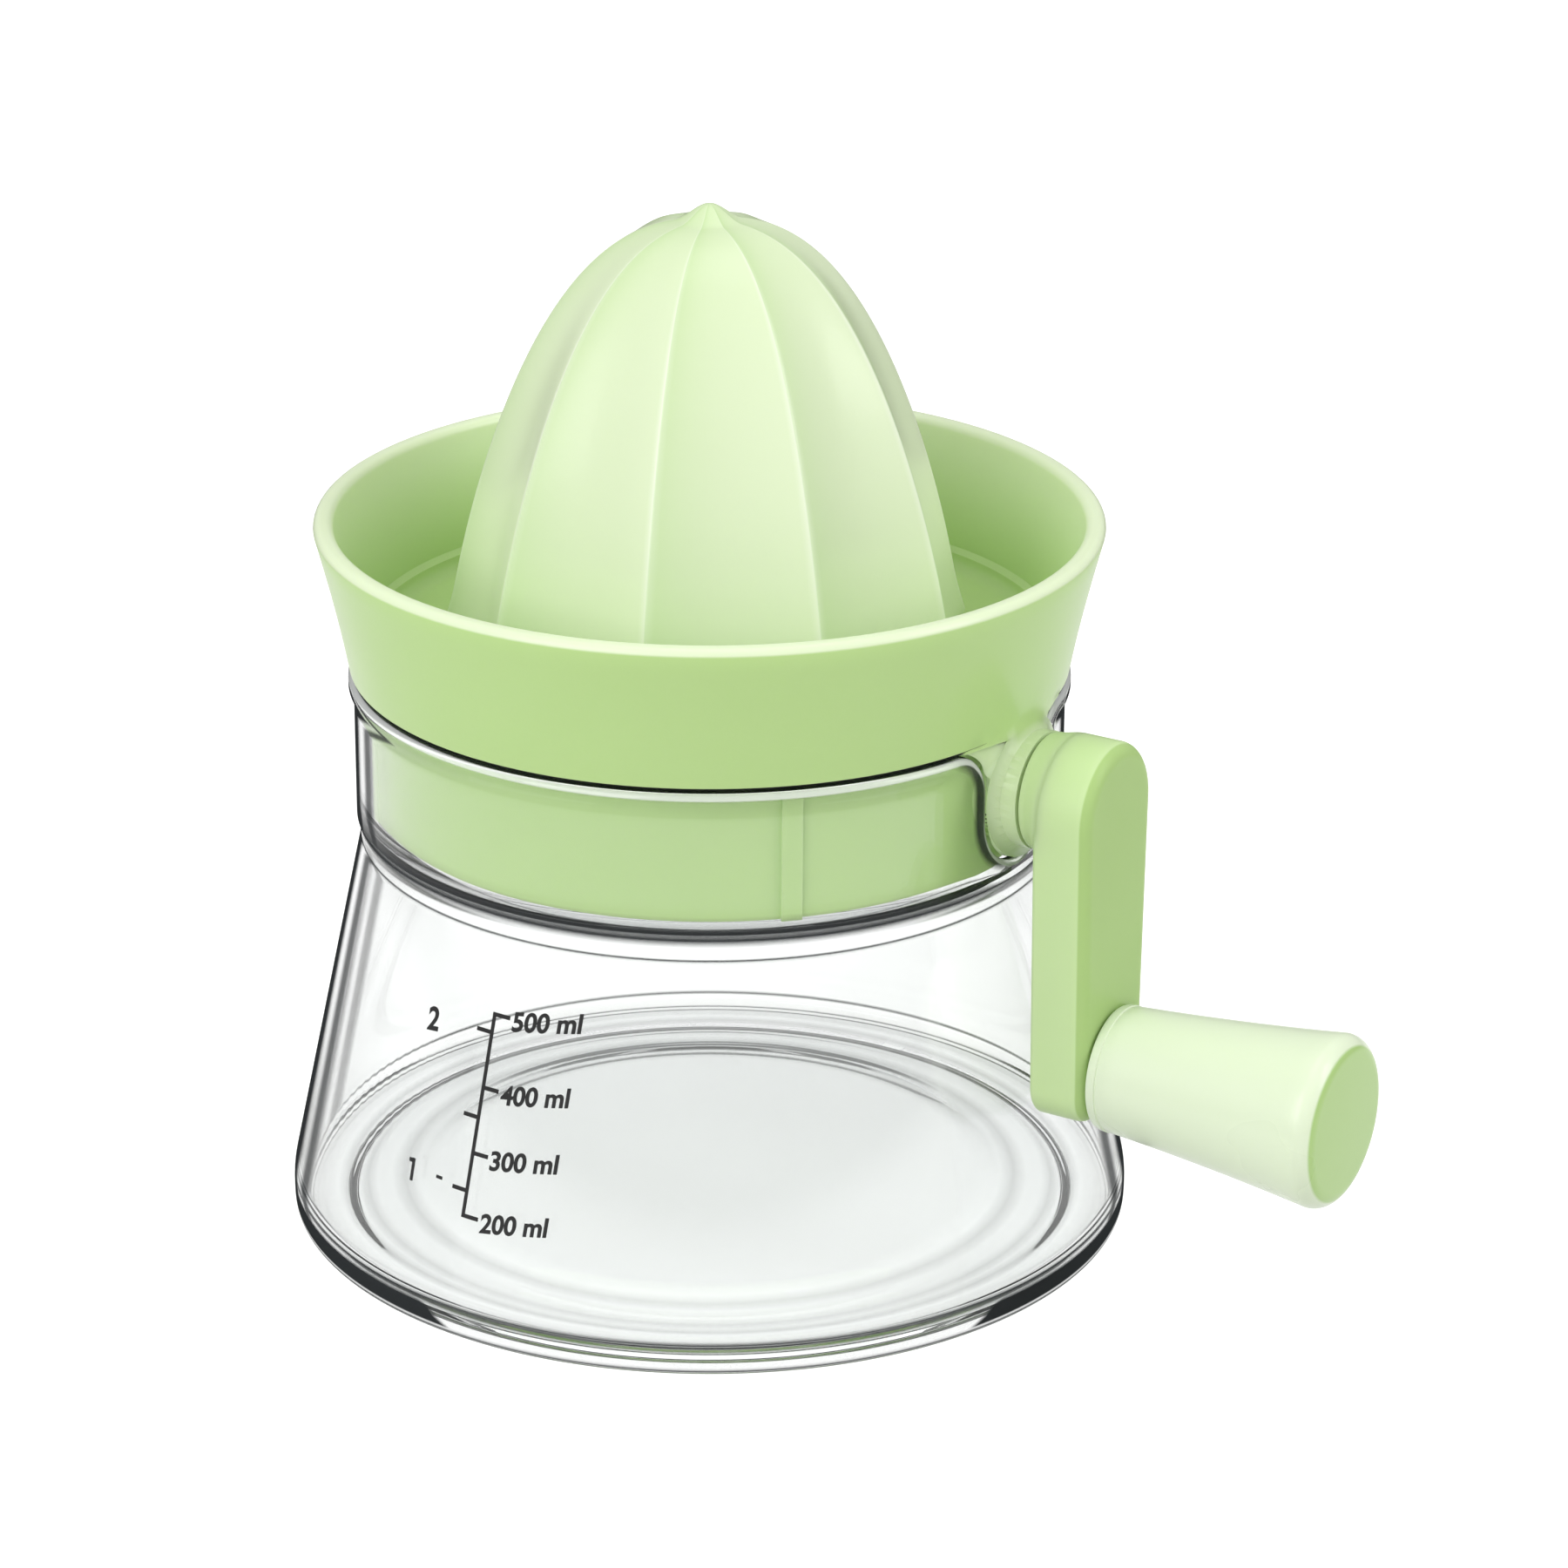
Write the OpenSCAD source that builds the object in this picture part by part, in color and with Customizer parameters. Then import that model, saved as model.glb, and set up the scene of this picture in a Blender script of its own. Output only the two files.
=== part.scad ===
// Hand crank citrus juicer: a clear measuring jar, a lift-off bowl that carries
// a bevel gear drive under its floor, and a fluted reamer turned by a side crank.
// Millimetres, Z up, X along the crank shaft, origin on the table at the jar axis.

/* [Jar] */
// Outer radius at the widest part of the base
jar_base_r = 64; // [60:0.5:70]
// Height from the table to the rim
jar_h = 86.5; // [82:0.5:96]
// Outer radius of the straight collar
collar_r = 53; // [51:0.5:56]
// Height of the collar from its shoulder to the rim
collar_h = 22.5; // [21:0.5:24]
// Thickness of the clear wall
jar_wall = 2.2; // [1.8:0.1:2.6]

/* [Bowl] */
// Height of the bowl from the jar rim to its lip
bowl_h = 23.5; // [20:0.5:30]
// How far the lip stands out beyond the collar
bowl_flare = 5.4; // [3:0.1:8]
// Wall thickness of the moulded pieces
shell = 2.4; // [2:0.1:2.8]
// Number of juice slots in the floor
drain_count = 24; // [12:1:30]
// Width of each juice slot
drain_w = 2.2; // [1.6:0.1:2.6]

/* [Reamer] */
// Radius over the ridges at the foot
reamer_r = 39; // [37:0.5:41]
// Height from the foot to the tip
reamer_h = 66; // [58:0.5:76]
// Number of ridges
ridge_count = 9; // [6:1:11]
// Depth of the flutes as a share of the radius
flute_depth = 0.12; // [0.08:0.01:0.15]

/* [Crank] */
// Depth of the shaft axis below the jar rim
crank_drop = 8.6; // [8:0.1:9.4]
// Distance from the shaft axis to the grip axis
crank_throw = 41; // [36:0.5:45]
// Radius of the crank shaft and of the spindle
shaft_r = 4; // [3.6:0.1:4.4]
// Width of the arm at its round top
arm_w = 20.8; // [19:0.2:22]
// Thickness of the arm
arm_t = 9.2; // [7.6:0.2:10]
// Length of the grip
grip_len = 37.4; // [32:0.2:50]
// Radius of the grip at its outer end
grip_r = 12.9; // [11:0.1:15]

/* [Gears] */
// Teeth on the crank pinion
pinion_teeth = 12; // [11:1:14]
// Teeth on the crown gear
crown_teeth = 24; // [22:1:26]
// Pitch radius of the pinion at its wide end
pinion_r = 8; // [7.4:0.1:8.6]

/* [Fits] */
// Radial clearance of a turning shaft in its bush
run_gap = 0.05; // [0.03:0.01:0.08]
// Gap between loose pieces that lift or turn apart
loose_gap = 0.3; // [0.25:0.05:0.5]
// Gap around pieces that are pressed or glued in place
press_gap = 0.02; // [0.01:0.005:0.04]

/* [Hidden] */
$fn = 72;
hole_fn = 24;
arm_fn = 48;
cut = 0.5;
diagonal = 45;

// Finishes
green = "#a9cf7c";
pale_green = "#d5e8bf";
clear = "#e6eef0";
steel = "#b9bcc0";
white = "#ecebe4";
bronze = "#b98a4a";
rubber = "#3a3a3c";

// Jar heights and radii
foot_w = 6;
foot_h = 1.2;
base_edge = 2.2;
base_arc = 75;
base_band_z = 5;
floor_t = 2.2;
punt_h = 0.9;
punt_inset = 18;
punt_slope = 2;
floor_fillet = 4;
shoulder_z = jar_h - collar_h;
neck_dip = 0.6;
neck_below = 3.5;
neck_band = 1.5;
neck_thick = 0.4;
ledge_w = 1.4;
ledge_h = 1;
rim_bead = 0.8;
rim_bead_h = 3;
collar_in_r = collar_r - jar_wall;
neck_out_r = collar_r - neck_dip;
neck_z = shoulder_z - neck_below;
jar_floor_z = foot_h + floor_t;
foot_out_r = jar_base_r - base_edge;
foot_in_r = foot_out_r - foot_w;
punt_r = jar_base_r - punt_inset;

// Slot in the collar that lets the crank neck in from above
bush_wall = 1.2;
bush_r = shaft_r + bush_wall;
neck_r = bush_r + press_gap + shell;
slot_gap = 0.6;
slot_half = neck_r + slot_gap;
slot_lip = 7.5;
slot_rise = 2.5;
crank_z = jar_h - crank_drop;
slot_low_z = min(shoulder_z + slot_rise, crank_z - neck_r - slot_gap);

// Bowl
bowl_z = jar_h + loose_gap;
floor_z = bowl_z + shell;
rim_z = jar_h + bowl_h;
bowl_foot_inset = 0.2;
bowl_foot_r = collar_r + rim_bead - bowl_foot_inset;
bowl_foot_edge = 0.7;
bowl_rim_r = collar_r + bowl_flare;
lip_t = 3;
lip_edge = 1.2;
lip_lean = 15;
wall_h = rim_z - lip_edge - bowl_z;
flare_power = 1.2;
flare_steps = 8;
bowl_fillet = 2.4;
skirt_gap = 0.9;
skirt_t = 2;
skirt_above_shoulder = 1.8;
skirt_r = collar_in_r - skirt_gap;
skirt_z = shoulder_z + skirt_above_shoulder;
guide_w = 3;
guide_count = 4;

// Bevel pair on crossing axes, sizes in degrees seen from the crossing point
pressure_angle = 25;
addendum = 0.8;
dedendum = 1;
backlash_share = 0.07;
face_share = 0.36;
flank_steps = 4;
tooth_clear = 0.4;
pinion_cone = atan(pinion_teeth / crown_teeth);
crown_cone = 90 - pinion_cone;
gear_module = 2 * pinion_r / pinion_teeth;
cone_len = pinion_r / sin(pinion_cone);
tip_angle = atan(addendum * gear_module / cone_len);
root_angle = atan(dedendum * gear_module / cone_len);
pinion_heel = pinion_r * crown_teeth / pinion_teeth;
pinion_toe = pinion_heel * (1 - face_share);
pinion_tip_r = pinion_heel * tan(pinion_cone + tip_angle);
crown_toe = pinion_r * (1 - face_share);
crown_heel = pinion_tip_r + tooth_clear;
crown_rim = 2.4;
crown_trim_r = pinion_heel + crown_rim;

// Pinion hub and crown hub
hub_wall = 3.4;
hub_len = 6;
pin_r = 1;
pin_inset = 0.5;
bore_share = 0.7;
pinion_bore_r = bore_share * shaft_r;
pinion_hub_r = pinion_bore_r + hub_wall;
pinion_back = pinion_heel + hub_len;
crown_plate = 2.6;
crown_hub_h = 4;
crown_hub_wall = 3.5;
crown_hub_r = shaft_r + crown_hub_wall;
crown_plate_z = crank_z + crown_heel + crown_plate;
crown_top_z = crown_plate_z + crown_hub_h;

// Gear housing, its cover and the bearings
flange_t = 1.2;
flange_w = 1.8;
flange_r = bush_r + flange_w;
washer_t = 0.8;
thrust_gap = 0.2;
gear_room = 1.2;
bush_len = 9;
seal_len = 3;
seal_gap = 1.2;
housing_in_r = max(crown_trim_r + gear_room, pinion_back + loose_gap + flange_t);
housing_r = housing_in_r + shell;
ceiling_z = crown_top_z + washer_t + flange_t + 2 * thrust_gap;
tower_r = bush_r + press_gap + shell;
tower_len = 7;
tower_z = ceiling_z + shell + tower_len;
cover_room = 2.6;
cover_top_z = crank_z - pinion_tip_r - cover_room;
gasket_t = 0.8;
housing_low_z = cover_top_z + gasket_t;
post_r = 3.4;
post_inset = 2.6;
post_len = 10;
post_at_r = housing_in_r - post_inset;
post_count = 4;
screw_r = 1.25;
screw_head_r = 2.8;
screw_head_h = 2;
screw_len = 10;
screw_drive_w = 0.8;
screw_drive_len = 3.2;
journal_share = 0.75;
journal_r = journal_share * shaft_r;
foot_bush_wall = 1.6;
foot_bush_r = journal_r + foot_bush_wall;
foot_boss_h = 4;
foot_boss_r = foot_bush_r + shell;
foot_flange_z = cover_top_z + foot_boss_h;
spindle_step_z = foot_flange_z + flange_t + thrust_gap;

// Crank boss, arm and grip
boss_r = 8.7;
boss_out = 3.9;
boss_land = 0.5;
boss_clear = 0.4;
boss_x = collar_r + boss_out;
blend_w = 8.5;
blend_sink = 0.35;
blend_lap = 0.4;
blend_steps = 5;
blend_fn = 36;
blend_h = boss_x - boss_land - bowl_foot_r;
flare_r = 13.4;
flare_fillet = 5;
counterbore = flange_t + washer_t;
seam_gap = 0.4;
hub_x = boss_x + seam_gap;
hub_min = 2;
arm_r = arm_w / 2;
arm_sink = 1.2;
arm_taper = 0.9;
arm_end = 7.3;
arm_corner = 5.4;
arm_edge_out = 2.2;
arm_edge_in = 1.2;
arm_clear = 1.3;
arm_skin = 2;
edge_steps = 4;
grip_z = crank_z - crank_throw;
arm_low_z = grip_z - arm_end;
arm_x = max(hub_x + hub_min, jar_r_at(arm_low_z) + arm_clear);
arm_out_x = arm_x + arm_t;
drive_flat = 0.8;
grip_pin_r = 3.5;
grip_root_r = 9.5;
grip_edge = 2.8;
grip_lean = 5;
grip_chamfer = 0.6;
grip_x = arm_out_x + loose_gap;
grip_end_x = grip_x + grip_len;
grip_cap = 4;
snap_depth = 0.5;
snap_w = 1.6;
snap_back = 3;

// Reamer
foot_clear = 1.8;
profile_power = 1.25;
profile_round = 0.41;
foot_flare = 0.9;
foot_flare_share = 0.12;
nub_h = 2.2;
nub_r = 5.2;
row_power = 2.4;
reamer_steps = 20;
ridge_steps = 8;
ridge_turn = 7.3;
reamer_wall = 2.6;
cavity_share = 0.93;
cavity_power = 1.6;
cavity_steps = 10;
body_h = reamer_h - nub_h;
cavity_h = body_h * cavity_share;
socket_wall = 3.6;
drive_share = 0.95;
drive_r = drive_share * shaft_r;
drive_gap = 0.15;
drive_len = 15;
reamer_z = floor_z + foot_clear;
drive_lift = 1;
drive_low_z = tower_z + drive_lift;
drive_top_z = drive_low_z + drive_len;
socket_lift = 0.6;
socket_low_z = drive_low_z + socket_lift;
socket_r = drive_r + socket_wall;
socket_seat = 1;
drain_margin = 3;
drain_past_foot = 1.6;
drain_in_r = housing_r + drain_margin;
drain_out_r = min(skirt_r - skirt_t - drain_margin, reamer_r + drain_past_foot);

// Points along an arc
function arc(x, y, r, from, to, steps = 6) =
    [for (i = [0 : steps]) let (a = from + (to - from) * i / steps) [x + r * cos(a), y + r * sin(a)]];

// Outer radius of the jar's cone at a height
function jar_r_at(z) =
    jar_base_r + (neck_out_r - jar_base_r) * (z - base_band_z) / (neck_z - base_band_z);

// Outer radius of the bowl at a share of its height
function bowl_r_at(t) = bowl_foot_r + (bowl_rim_r - bowl_foot_r) * pow(t, flare_power);

// Outer radius of the bowl at a height, the same below it as at its foot
function bowl_r_up_to(z) = bowl_r_at(max(0, z - bowl_z) / wall_h);

// Ridge radius of the reamer at a share of its height
function reamer_r_at(u) = reamer_r * pow(1 - pow(u, profile_power), profile_round)
    + foot_flare * pow(max(0, 1 - u / foot_flare_share), 2);

// Rise of the small point above the dome at a radius
function nub_at(r) = r < nub_r ? nub_h * (1 + cos(180 * r / nub_r)) / 2 : 0;

// Flank of a bevel tooth as an involute on a sphere
function base_cone(cone) = asin(cos(pressure_angle) * sin(cone));
function unroll(angle, base) = acos(min(1, cos(angle) / cos(base)));
function lead(angle, base) =
    let (p = unroll(max(angle, base), base)) p / sin(base) - atan(tan(p) / sin(base));
function flank_at(cone, half, angle) =
    let (b = base_cone(cone)) half + lead(cone, b) - lead(angle, b);

// Outline of a bevel gear on a plane across its axis
function gear_outline(teeth, cone, height) =
    let (half = 90 / teeth * (1 - backlash_share),
         span = tip_angle + root_angle,
         rows = [for (k = [0 : flank_steps]) cone - root_angle + span * k / flank_steps])
    [for (i = [0 : teeth - 1], side = [-1, 1], k = [0 : flank_steps])
        let (a = rows[side < 0 ? k : flank_steps - k],
             turn = 360 * i / teeth + side * flank_at(cone, half, a))
        height * tan(a) * [cos(turn), sin(turn)]];

// Stand children on the crank axis with their Z along +X
module on_crank(x = 0) {
    translate([x, 0, crank_z]) rotate([0, 90, 0]) children();
}

// Stand children on the grip axis with their Z along +X
module on_grip(x = 0) {
    translate([x, 0, grip_z]) rotate([0, 90, 0]) children();
}

// A plain ring or tube
module ring(inner, outer, h) {
    difference() {
        cylinder(r = outer, h = h);
        translate([0, 0, -cut]) cylinder(r = inner, h = h + 2 * cut);
    }
}

// A sleeve with a flange at its start
module flanged_bush(bore, outer, flange, len) {
    difference() {
        union() {
            cylinder(r = flange, h = flange_t);
            cylinder(r = outer, h = len);
        }
        translate([0, 0, -cut]) cylinder(r = bore, h = len + 2 * cut);
    }
}

// Teeth and core of a bevel gear between two planes, apex at the origin
module bevel_body(teeth, cone, toe, heel) {
    translate([0, 0, toe])
        linear_extrude(height = heel - toe, scale = heel / toe)
            polygon(gear_outline(teeth, cone, toe));
}

// U shaped opening with rolled upper lips, drawn across the crank axis
module slot_shape() {
    low = slot_low_z + slot_half;
    translate([0, low]) circle(r = slot_half);
    translate([-slot_half, low]) square([2 * slot_half, jar_h - low + cut]);
    for (side = [-1, 1])
        difference() {
            translate([side * (slot_half + slot_lip / 2), jar_h - slot_lip / 2 + cut / 2])
                square([slot_lip, slot_lip + cut], center = true);
            translate([side * (slot_half + slot_lip), jar_h - slot_lip]) circle(r = slot_lip);
        }
}

module jar() {
    inner_base_r = jar_r_at(jar_floor_z + floor_fillet) - jar_wall;
    outline = concat(
        [[0, foot_h + punt_h], [punt_r - punt_slope, foot_h + punt_h], [punt_r, foot_h],
         [foot_in_r - foot_h, foot_h], [foot_in_r, 0], [foot_out_r, 0]],
        arc(foot_out_r, base_edge, base_edge, -base_arc, 0),
        [[jar_base_r, base_band_z], [neck_out_r, neck_z], [neck_out_r, neck_z + neck_band],
         [collar_r, shoulder_z], [collar_r, jar_h - rim_bead_h],
         [collar_r + rim_bead, jar_h - rim_bead_h + rim_bead]],
        arc(collar_r, jar_h - rim_bead, rim_bead, 0, 90),
        arc(collar_in_r + rim_bead, jar_h - rim_bead, rim_bead, 90, 180),
        [[collar_in_r, shoulder_z + ledge_h], [collar_in_r - ledge_w, shoulder_z],
         [neck_out_r - jar_wall - neck_thick, neck_z]],
        arc(inner_base_r - floor_fillet, jar_floor_z + floor_fillet, floor_fillet, 0, -90),
        [[punt_r, jar_floor_z], [punt_r - punt_slope, jar_floor_z + punt_h], [0, jar_floor_z + punt_h]]);
    color(clear) difference() {
        rotate_extrude() polygon(outline);
        rotate([90, 0, 90]) linear_extrude(height = 2 * jar_base_r) slot_shape();
    }
}

// Bowl wall, floor ring and skirt as one turned section
module bowl_section() {
    in_r = bowl_r_at(0) - lip_t;
    outline = concat(
        [[housing_in_r, bowl_z], [skirt_r - skirt_t, bowl_z], [skirt_r - skirt_t, skirt_z],
         [skirt_r, skirt_z], [skirt_r, bowl_z], [bowl_foot_r - bowl_foot_edge, bowl_z],
         [bowl_foot_r, bowl_z + bowl_foot_edge]],
        [for (i = [1 : flare_steps]) let (t = i / flare_steps) [bowl_r_at(t), bowl_z + wall_h * t]],
        arc(bowl_rim_r - lip_edge, rim_z - lip_edge, lip_edge, lip_lean, 90),
        arc(bowl_rim_r - lip_t + lip_edge, rim_z - lip_edge, lip_edge, 90, 180 - lip_lean),
        [for (i = [flare_steps : -1 : 2]) let (t = i / flare_steps)
            [bowl_r_at(t) - lip_t, bowl_z + wall_h * t]],
        arc(in_r - bowl_fillet, floor_z + bowl_fillet, bowl_fillet, 0, -90),
        [[housing_in_r, floor_z]]);
    polygon(outline);
}

// Cup for the gears, let into the bowl's floor and raised in the middle into a bearing tower
module housing_section() {
    bore = bush_r + press_gap;
    polygon([[housing_in_r, housing_low_z], [housing_r, housing_low_z],
             [housing_r, ceiling_z], [housing_r - shell, ceiling_z + shell],
             [tower_r, ceiling_z + shell], [tower_r, tower_z], [bore, tower_z],
             [bore, ceiling_z], [housing_in_r - shell / 2, ceiling_z],
             [housing_in_r, ceiling_z - shell / 2]]);
}

// One juice slot with round ends
module drain_slot() {
    len = drain_out_r - drain_in_r - drain_w;
    translate([drain_in_r + drain_w / 2, -drain_w / 2, bowl_z - cut])
        cube([len, drain_w, shell + 2 * cut]);
    for (x = [0, len])
        translate([drain_in_r + drain_w / 2 + x, 0, bowl_z - cut])
            cylinder(r = drain_w / 2, h = shell + 2 * cut, $fn = hole_fn);
}

// Boss outside the collar, spreading in a hollow curve over the bowl wall
module crank_boss() {
    around = blend_fn;
    rings = [for (k = [0 : blend_steps]) let (a = 90 * k / blend_steps)
        [boss_r - blend_lap + blend_w * (1 - sin(a)), blend_h * (1 - cos(a)) - blend_sink]];
    back_x = bowl_foot_r - lip_t - bowl_foot_edge;
    rim = rings[0][0];
    points = concat(
        [for (i = [0 : around - 1]) let (a = 360 * i / around)
            [back_x, rim * cos(a), crank_z + rim * sin(a)]],
        [for (g = rings, i = [0 : around - 1])
            let (a = 360 * i / around, y = g[0] * cos(a), z = crank_z + g[0] * sin(a))
            [sqrt(pow(bowl_r_up_to(z), 2) - y * y) + g[1], y, z]],
        [[back_x, 0, crank_z], [boss_x - boss_land, 0, crank_z]]);
    last = around * (blend_steps + 1);
    faces = concat(
        [for (k = [0 : blend_steps], i = [0 : around - 1], half = [0, 1])
            let (j = (i + 1) % around, low = k * around, high = low + around)
            half == 0 ? [low + i, high + i, high + j] : [low + i, high + j, low + j]],
        [for (i = [0 : around - 1]) [last + i, last + around + 1, last + (i + 1) % around]],
        [for (i = [0 : around - 1]) [(i + 1) % around, last + around, i]]);
    difference() {
        union() {
            polyhedron(points, faces);
            on_crank(back_x) cylinder(r = boss_r, h = boss_x - back_x);
        }
        cylinder(r = collar_r + rim_bead + boss_clear, h = bowl_z);
        cylinder(r = bowl_foot_r - lip_t / 2, h = rim_z);
    }
}

// Neck through the collar slot with a flared root on the skirt
module crank_neck() {
    root_x = skirt_r - flare_fillet / 2;
    on_crank(housing_in_r) cylinder(r = neck_r, h = boss_x - counterbore / 2 - housing_in_r);
    intersection() {
        on_crank(root_x)
            rotate_extrude()
                polygon(concat([[0, -shell], [flare_r, -shell]],
                    arc(neck_r + flare_fillet, flare_fillet, flare_fillet, 270, 180),
                    [[0, flare_fillet]]));
        translate([0, 0, skirt_z]) cylinder(r = skirt_r + skirt_gap - loose_gap, h = bowl_z - skirt_z);
    }
}

module bowl() {
    color(green) difference() {
        union() {
            rotate_extrude() bowl_section();
            for (i = [0 : guide_count - 1])
                rotate(diagonal + 360 * i / guide_count)
                    translate([skirt_r - skirt_t / 2, -guide_w / 2, skirt_z])
                        cube([skirt_t / 2 + skirt_gap - loose_gap, guide_w, bowl_z - skirt_z]);
            crank_boss();
            crank_neck();
        }
        for (i = [0 : drain_count - 1])
            rotate(360 * (i + 0.5) / drain_count) drain_slot();
        translate([0, 0, housing_low_z]) cylinder(r = housing_r + press_gap, h = ceiling_z - housing_low_z);
        on_crank(housing_in_r) cylinder(r = bush_r + press_gap, h = boss_x);
        on_crank(boss_x - counterbore) cylinder(r = flange_r + press_gap, h = counterbore + cut);
    }
}

module gear_housing() {
    color(green) difference() {
        union() {
            rotate_extrude() housing_section();
            for (i = [0 : post_count - 1])
                rotate(diagonal + 360 * i / post_count)
                    translate([post_at_r, 0, housing_low_z]) cylinder(r = post_r, h = post_len);
        }
        on_crank(housing_in_r - cut) cylinder(r = bush_r + press_gap, h = boss_x);
        on_crank(housing_in_r - hub_len) cylinder(r = flange_r + loose_gap, h = hub_len);
        for (i = [0 : post_count - 1])
            rotate(diagonal + 360 * i / post_count)
                translate([post_at_r, 0, housing_low_z - cut])
                    cylinder(r = screw_r + press_gap, h = screw_len - shell, $fn = hole_fn);
    }
}

module gear_cover() {
    color(green) difference() {
        union() {
            translate([0, 0, cover_top_z - shell]) cylinder(r = housing_r, h = shell);
            translate([0, 0, cover_top_z - shell]) cylinder(r = foot_boss_r, h = shell + foot_boss_h);
        }
        translate([0, 0, cover_top_z - shell / 2])
            cylinder(r = foot_bush_r + press_gap, h = shell + foot_boss_h);
        for (i = [0 : post_count - 1])
            rotate(diagonal + 360 * i / post_count)
                translate([post_at_r, 0, cover_top_z - shell - cut])
                    cylinder(r = screw_r + press_gap, h = shell + 2 * cut, $fn = hole_fn);
    }
}

module cover_gasket() {
    color(rubber) difference() {
        translate([0, 0, cover_top_z]) ring(post_at_r - post_r, housing_r, gasket_t);
        for (i = [0 : post_count - 1])
            rotate(diagonal + 360 * i / post_count)
                translate([post_at_r, 0, cover_top_z - cut])
                    cylinder(r = screw_r + press_gap, h = gasket_t + 2 * cut, $fn = hole_fn);
    }
}

module cover_screws() {
    head_z = cover_top_z - shell - screw_head_h;
    color(steel)
        for (i = [0 : post_count - 1])
            rotate(diagonal + 360 * i / post_count)
                translate([post_at_r, 0, head_z])
                    difference() {
                        union() {
                            cylinder(r = screw_head_r, h = screw_head_h, $fn = arm_fn);
                            cylinder(r = screw_r, h = screw_head_h + screw_len, $fn = hole_fn);
                        }
                        for (turn = [0, 90])
                            rotate(turn)
                                translate([-screw_drive_len / 2, -screw_drive_w / 2, -cut])
                                    cube([screw_drive_len, screw_drive_w, screw_head_h / 2 + cut]);
                    }
}

module shaft_inner_bush() {
    color(bronze)
        on_crank(housing_in_r - flange_t) flanged_bush(shaft_r + run_gap, bush_r, flange_r, bush_len);
}

module shaft_outer_bush() {
    color(bronze)
        on_crank(boss_x - washer_t) mirror([0, 0, 1])
            flanged_bush(shaft_r + run_gap, bush_r, flange_r, bush_len);
}

module shaft_seal() {
    seal_x = boss_x - washer_t - bush_len - seal_gap - seal_len;
    color(rubber)
        on_crank(seal_x) ring(shaft_r + run_gap, bush_r, seal_len);
}

module crank_washer() {
    color(white)
        on_crank(boss_x - washer_t + thrust_gap / 2)
            ring(shaft_r + run_gap, flange_r - thrust_gap, washer_t + seam_gap / 2);
}

module spindle_upper_bush() {
    color(bronze)
        translate([0, 0, ceiling_z - flange_t])
            flanged_bush(shaft_r + run_gap, bush_r, flange_r, flange_t + shell + tower_len / 2);
}

module spindle_lower_bush() {
    color(bronze)
        translate([0, 0, foot_flange_z + flange_t]) mirror([0, 0, 1])
            flanged_bush(journal_r + run_gap, foot_bush_r, foot_boss_r, foot_boss_h + flange_t);
}

module spindle_seal() {
    color(rubber)
        translate([0, 0, ceiling_z + shell + tower_len / 2 + thrust_gap])
            ring(shaft_r + run_gap, bush_r, tower_len / 2 - thrust_gap);
}

module crank_shaft() {
    end_x = arm_out_x - arm_skin;
    color(steel) difference() {
        union() {
            on_crank(pinion_toe) cylinder(r = pinion_bore_r, h = end_x - pinion_toe);
            on_crank(pinion_back) cylinder(r = shaft_r, h = end_x - pinion_back);
        }
        translate([hub_x, -shaft_r, crank_z + shaft_r - drive_flat])
            cube([end_x - hub_x + cut, 2 * shaft_r, shaft_r]);
        translate([pinion_back - hub_len / 2, 0, crank_z]) rotate([90, 0, 0])
            cylinder(r = pin_r + press_gap, h = 2 * shaft_r, center = true, $fn = hole_fn);
    }
}

module pinion() {
    color(white) difference() {
        union() {
            on_crank() rotate(180) bevel_body(pinion_teeth, pinion_cone, pinion_toe, pinion_heel);
            on_crank(pinion_heel) cylinder(r = pinion_hub_r, h = hub_len);
        }
        on_crank(pinion_toe - cut)
            cylinder(r = pinion_bore_r + press_gap, h = pinion_back - pinion_toe + 2 * cut);
        translate([pinion_back - hub_len / 2, 0, crank_z]) rotate([90, 0, 0])
            cylinder(r = pin_r + press_gap, h = 2 * (pinion_hub_r + cut), center = true, $fn = hole_fn);
    }
}

module pinion_pin() {
    color(steel)
        translate([pinion_back - hub_len / 2, 0, crank_z]) rotate([90, 0, 0])
            cylinder(r = pin_r, h = 2 * (pinion_hub_r - pin_inset), center = true, $fn = hole_fn);
}

// Face outline of the arm, drawn across the crank axis
module arm_face(inset = 0) {
    corner = arm_corner - inset;
    low_half = arm_r - arm_taper - arm_corner;
    hull() {
        translate([0, crank_z - arm_sink]) circle(r = arm_r - inset, $fn = arm_fn);
        for (side = [-1, 1])
            translate([side * low_half, arm_low_z + arm_corner]) circle(r = corner, $fn = arm_fn);
    }
}

module crank_arm() {
    color(green) difference() {
        union() {
            hull()
                for (i = [0 : edge_steps]) {
                    a = 90 * i / edge_steps;
                    start = arm_x + arm_edge_in * (1 - sin(a));
                    end = arm_out_x - arm_edge_out * (1 - sin(a));
                    translate([start, 0, 0]) rotate([90, 0, 90])
                        linear_extrude(height = end - start)
                            arm_face(arm_edge_out * (1 - cos(a)));
                }
            on_crank(hub_x) cylinder(r = boss_r, h = arm_x + arm_t / 2 - hub_x);
        }
        difference() {
            on_crank(hub_x - cut)
                cylinder(r = shaft_r + press_gap, h = arm_out_x - arm_skin - hub_x + cut + press_gap);
            translate([hub_x - 2 * cut, -boss_r, crank_z + shaft_r - drive_flat + press_gap])
                cube([arm_t + boss_r, 2 * boss_r, boss_r]);
        }
        on_grip(arm_x + arm_skin)
            cylinder(r = grip_pin_r + press_gap, h = arm_t);
    }
}

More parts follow.
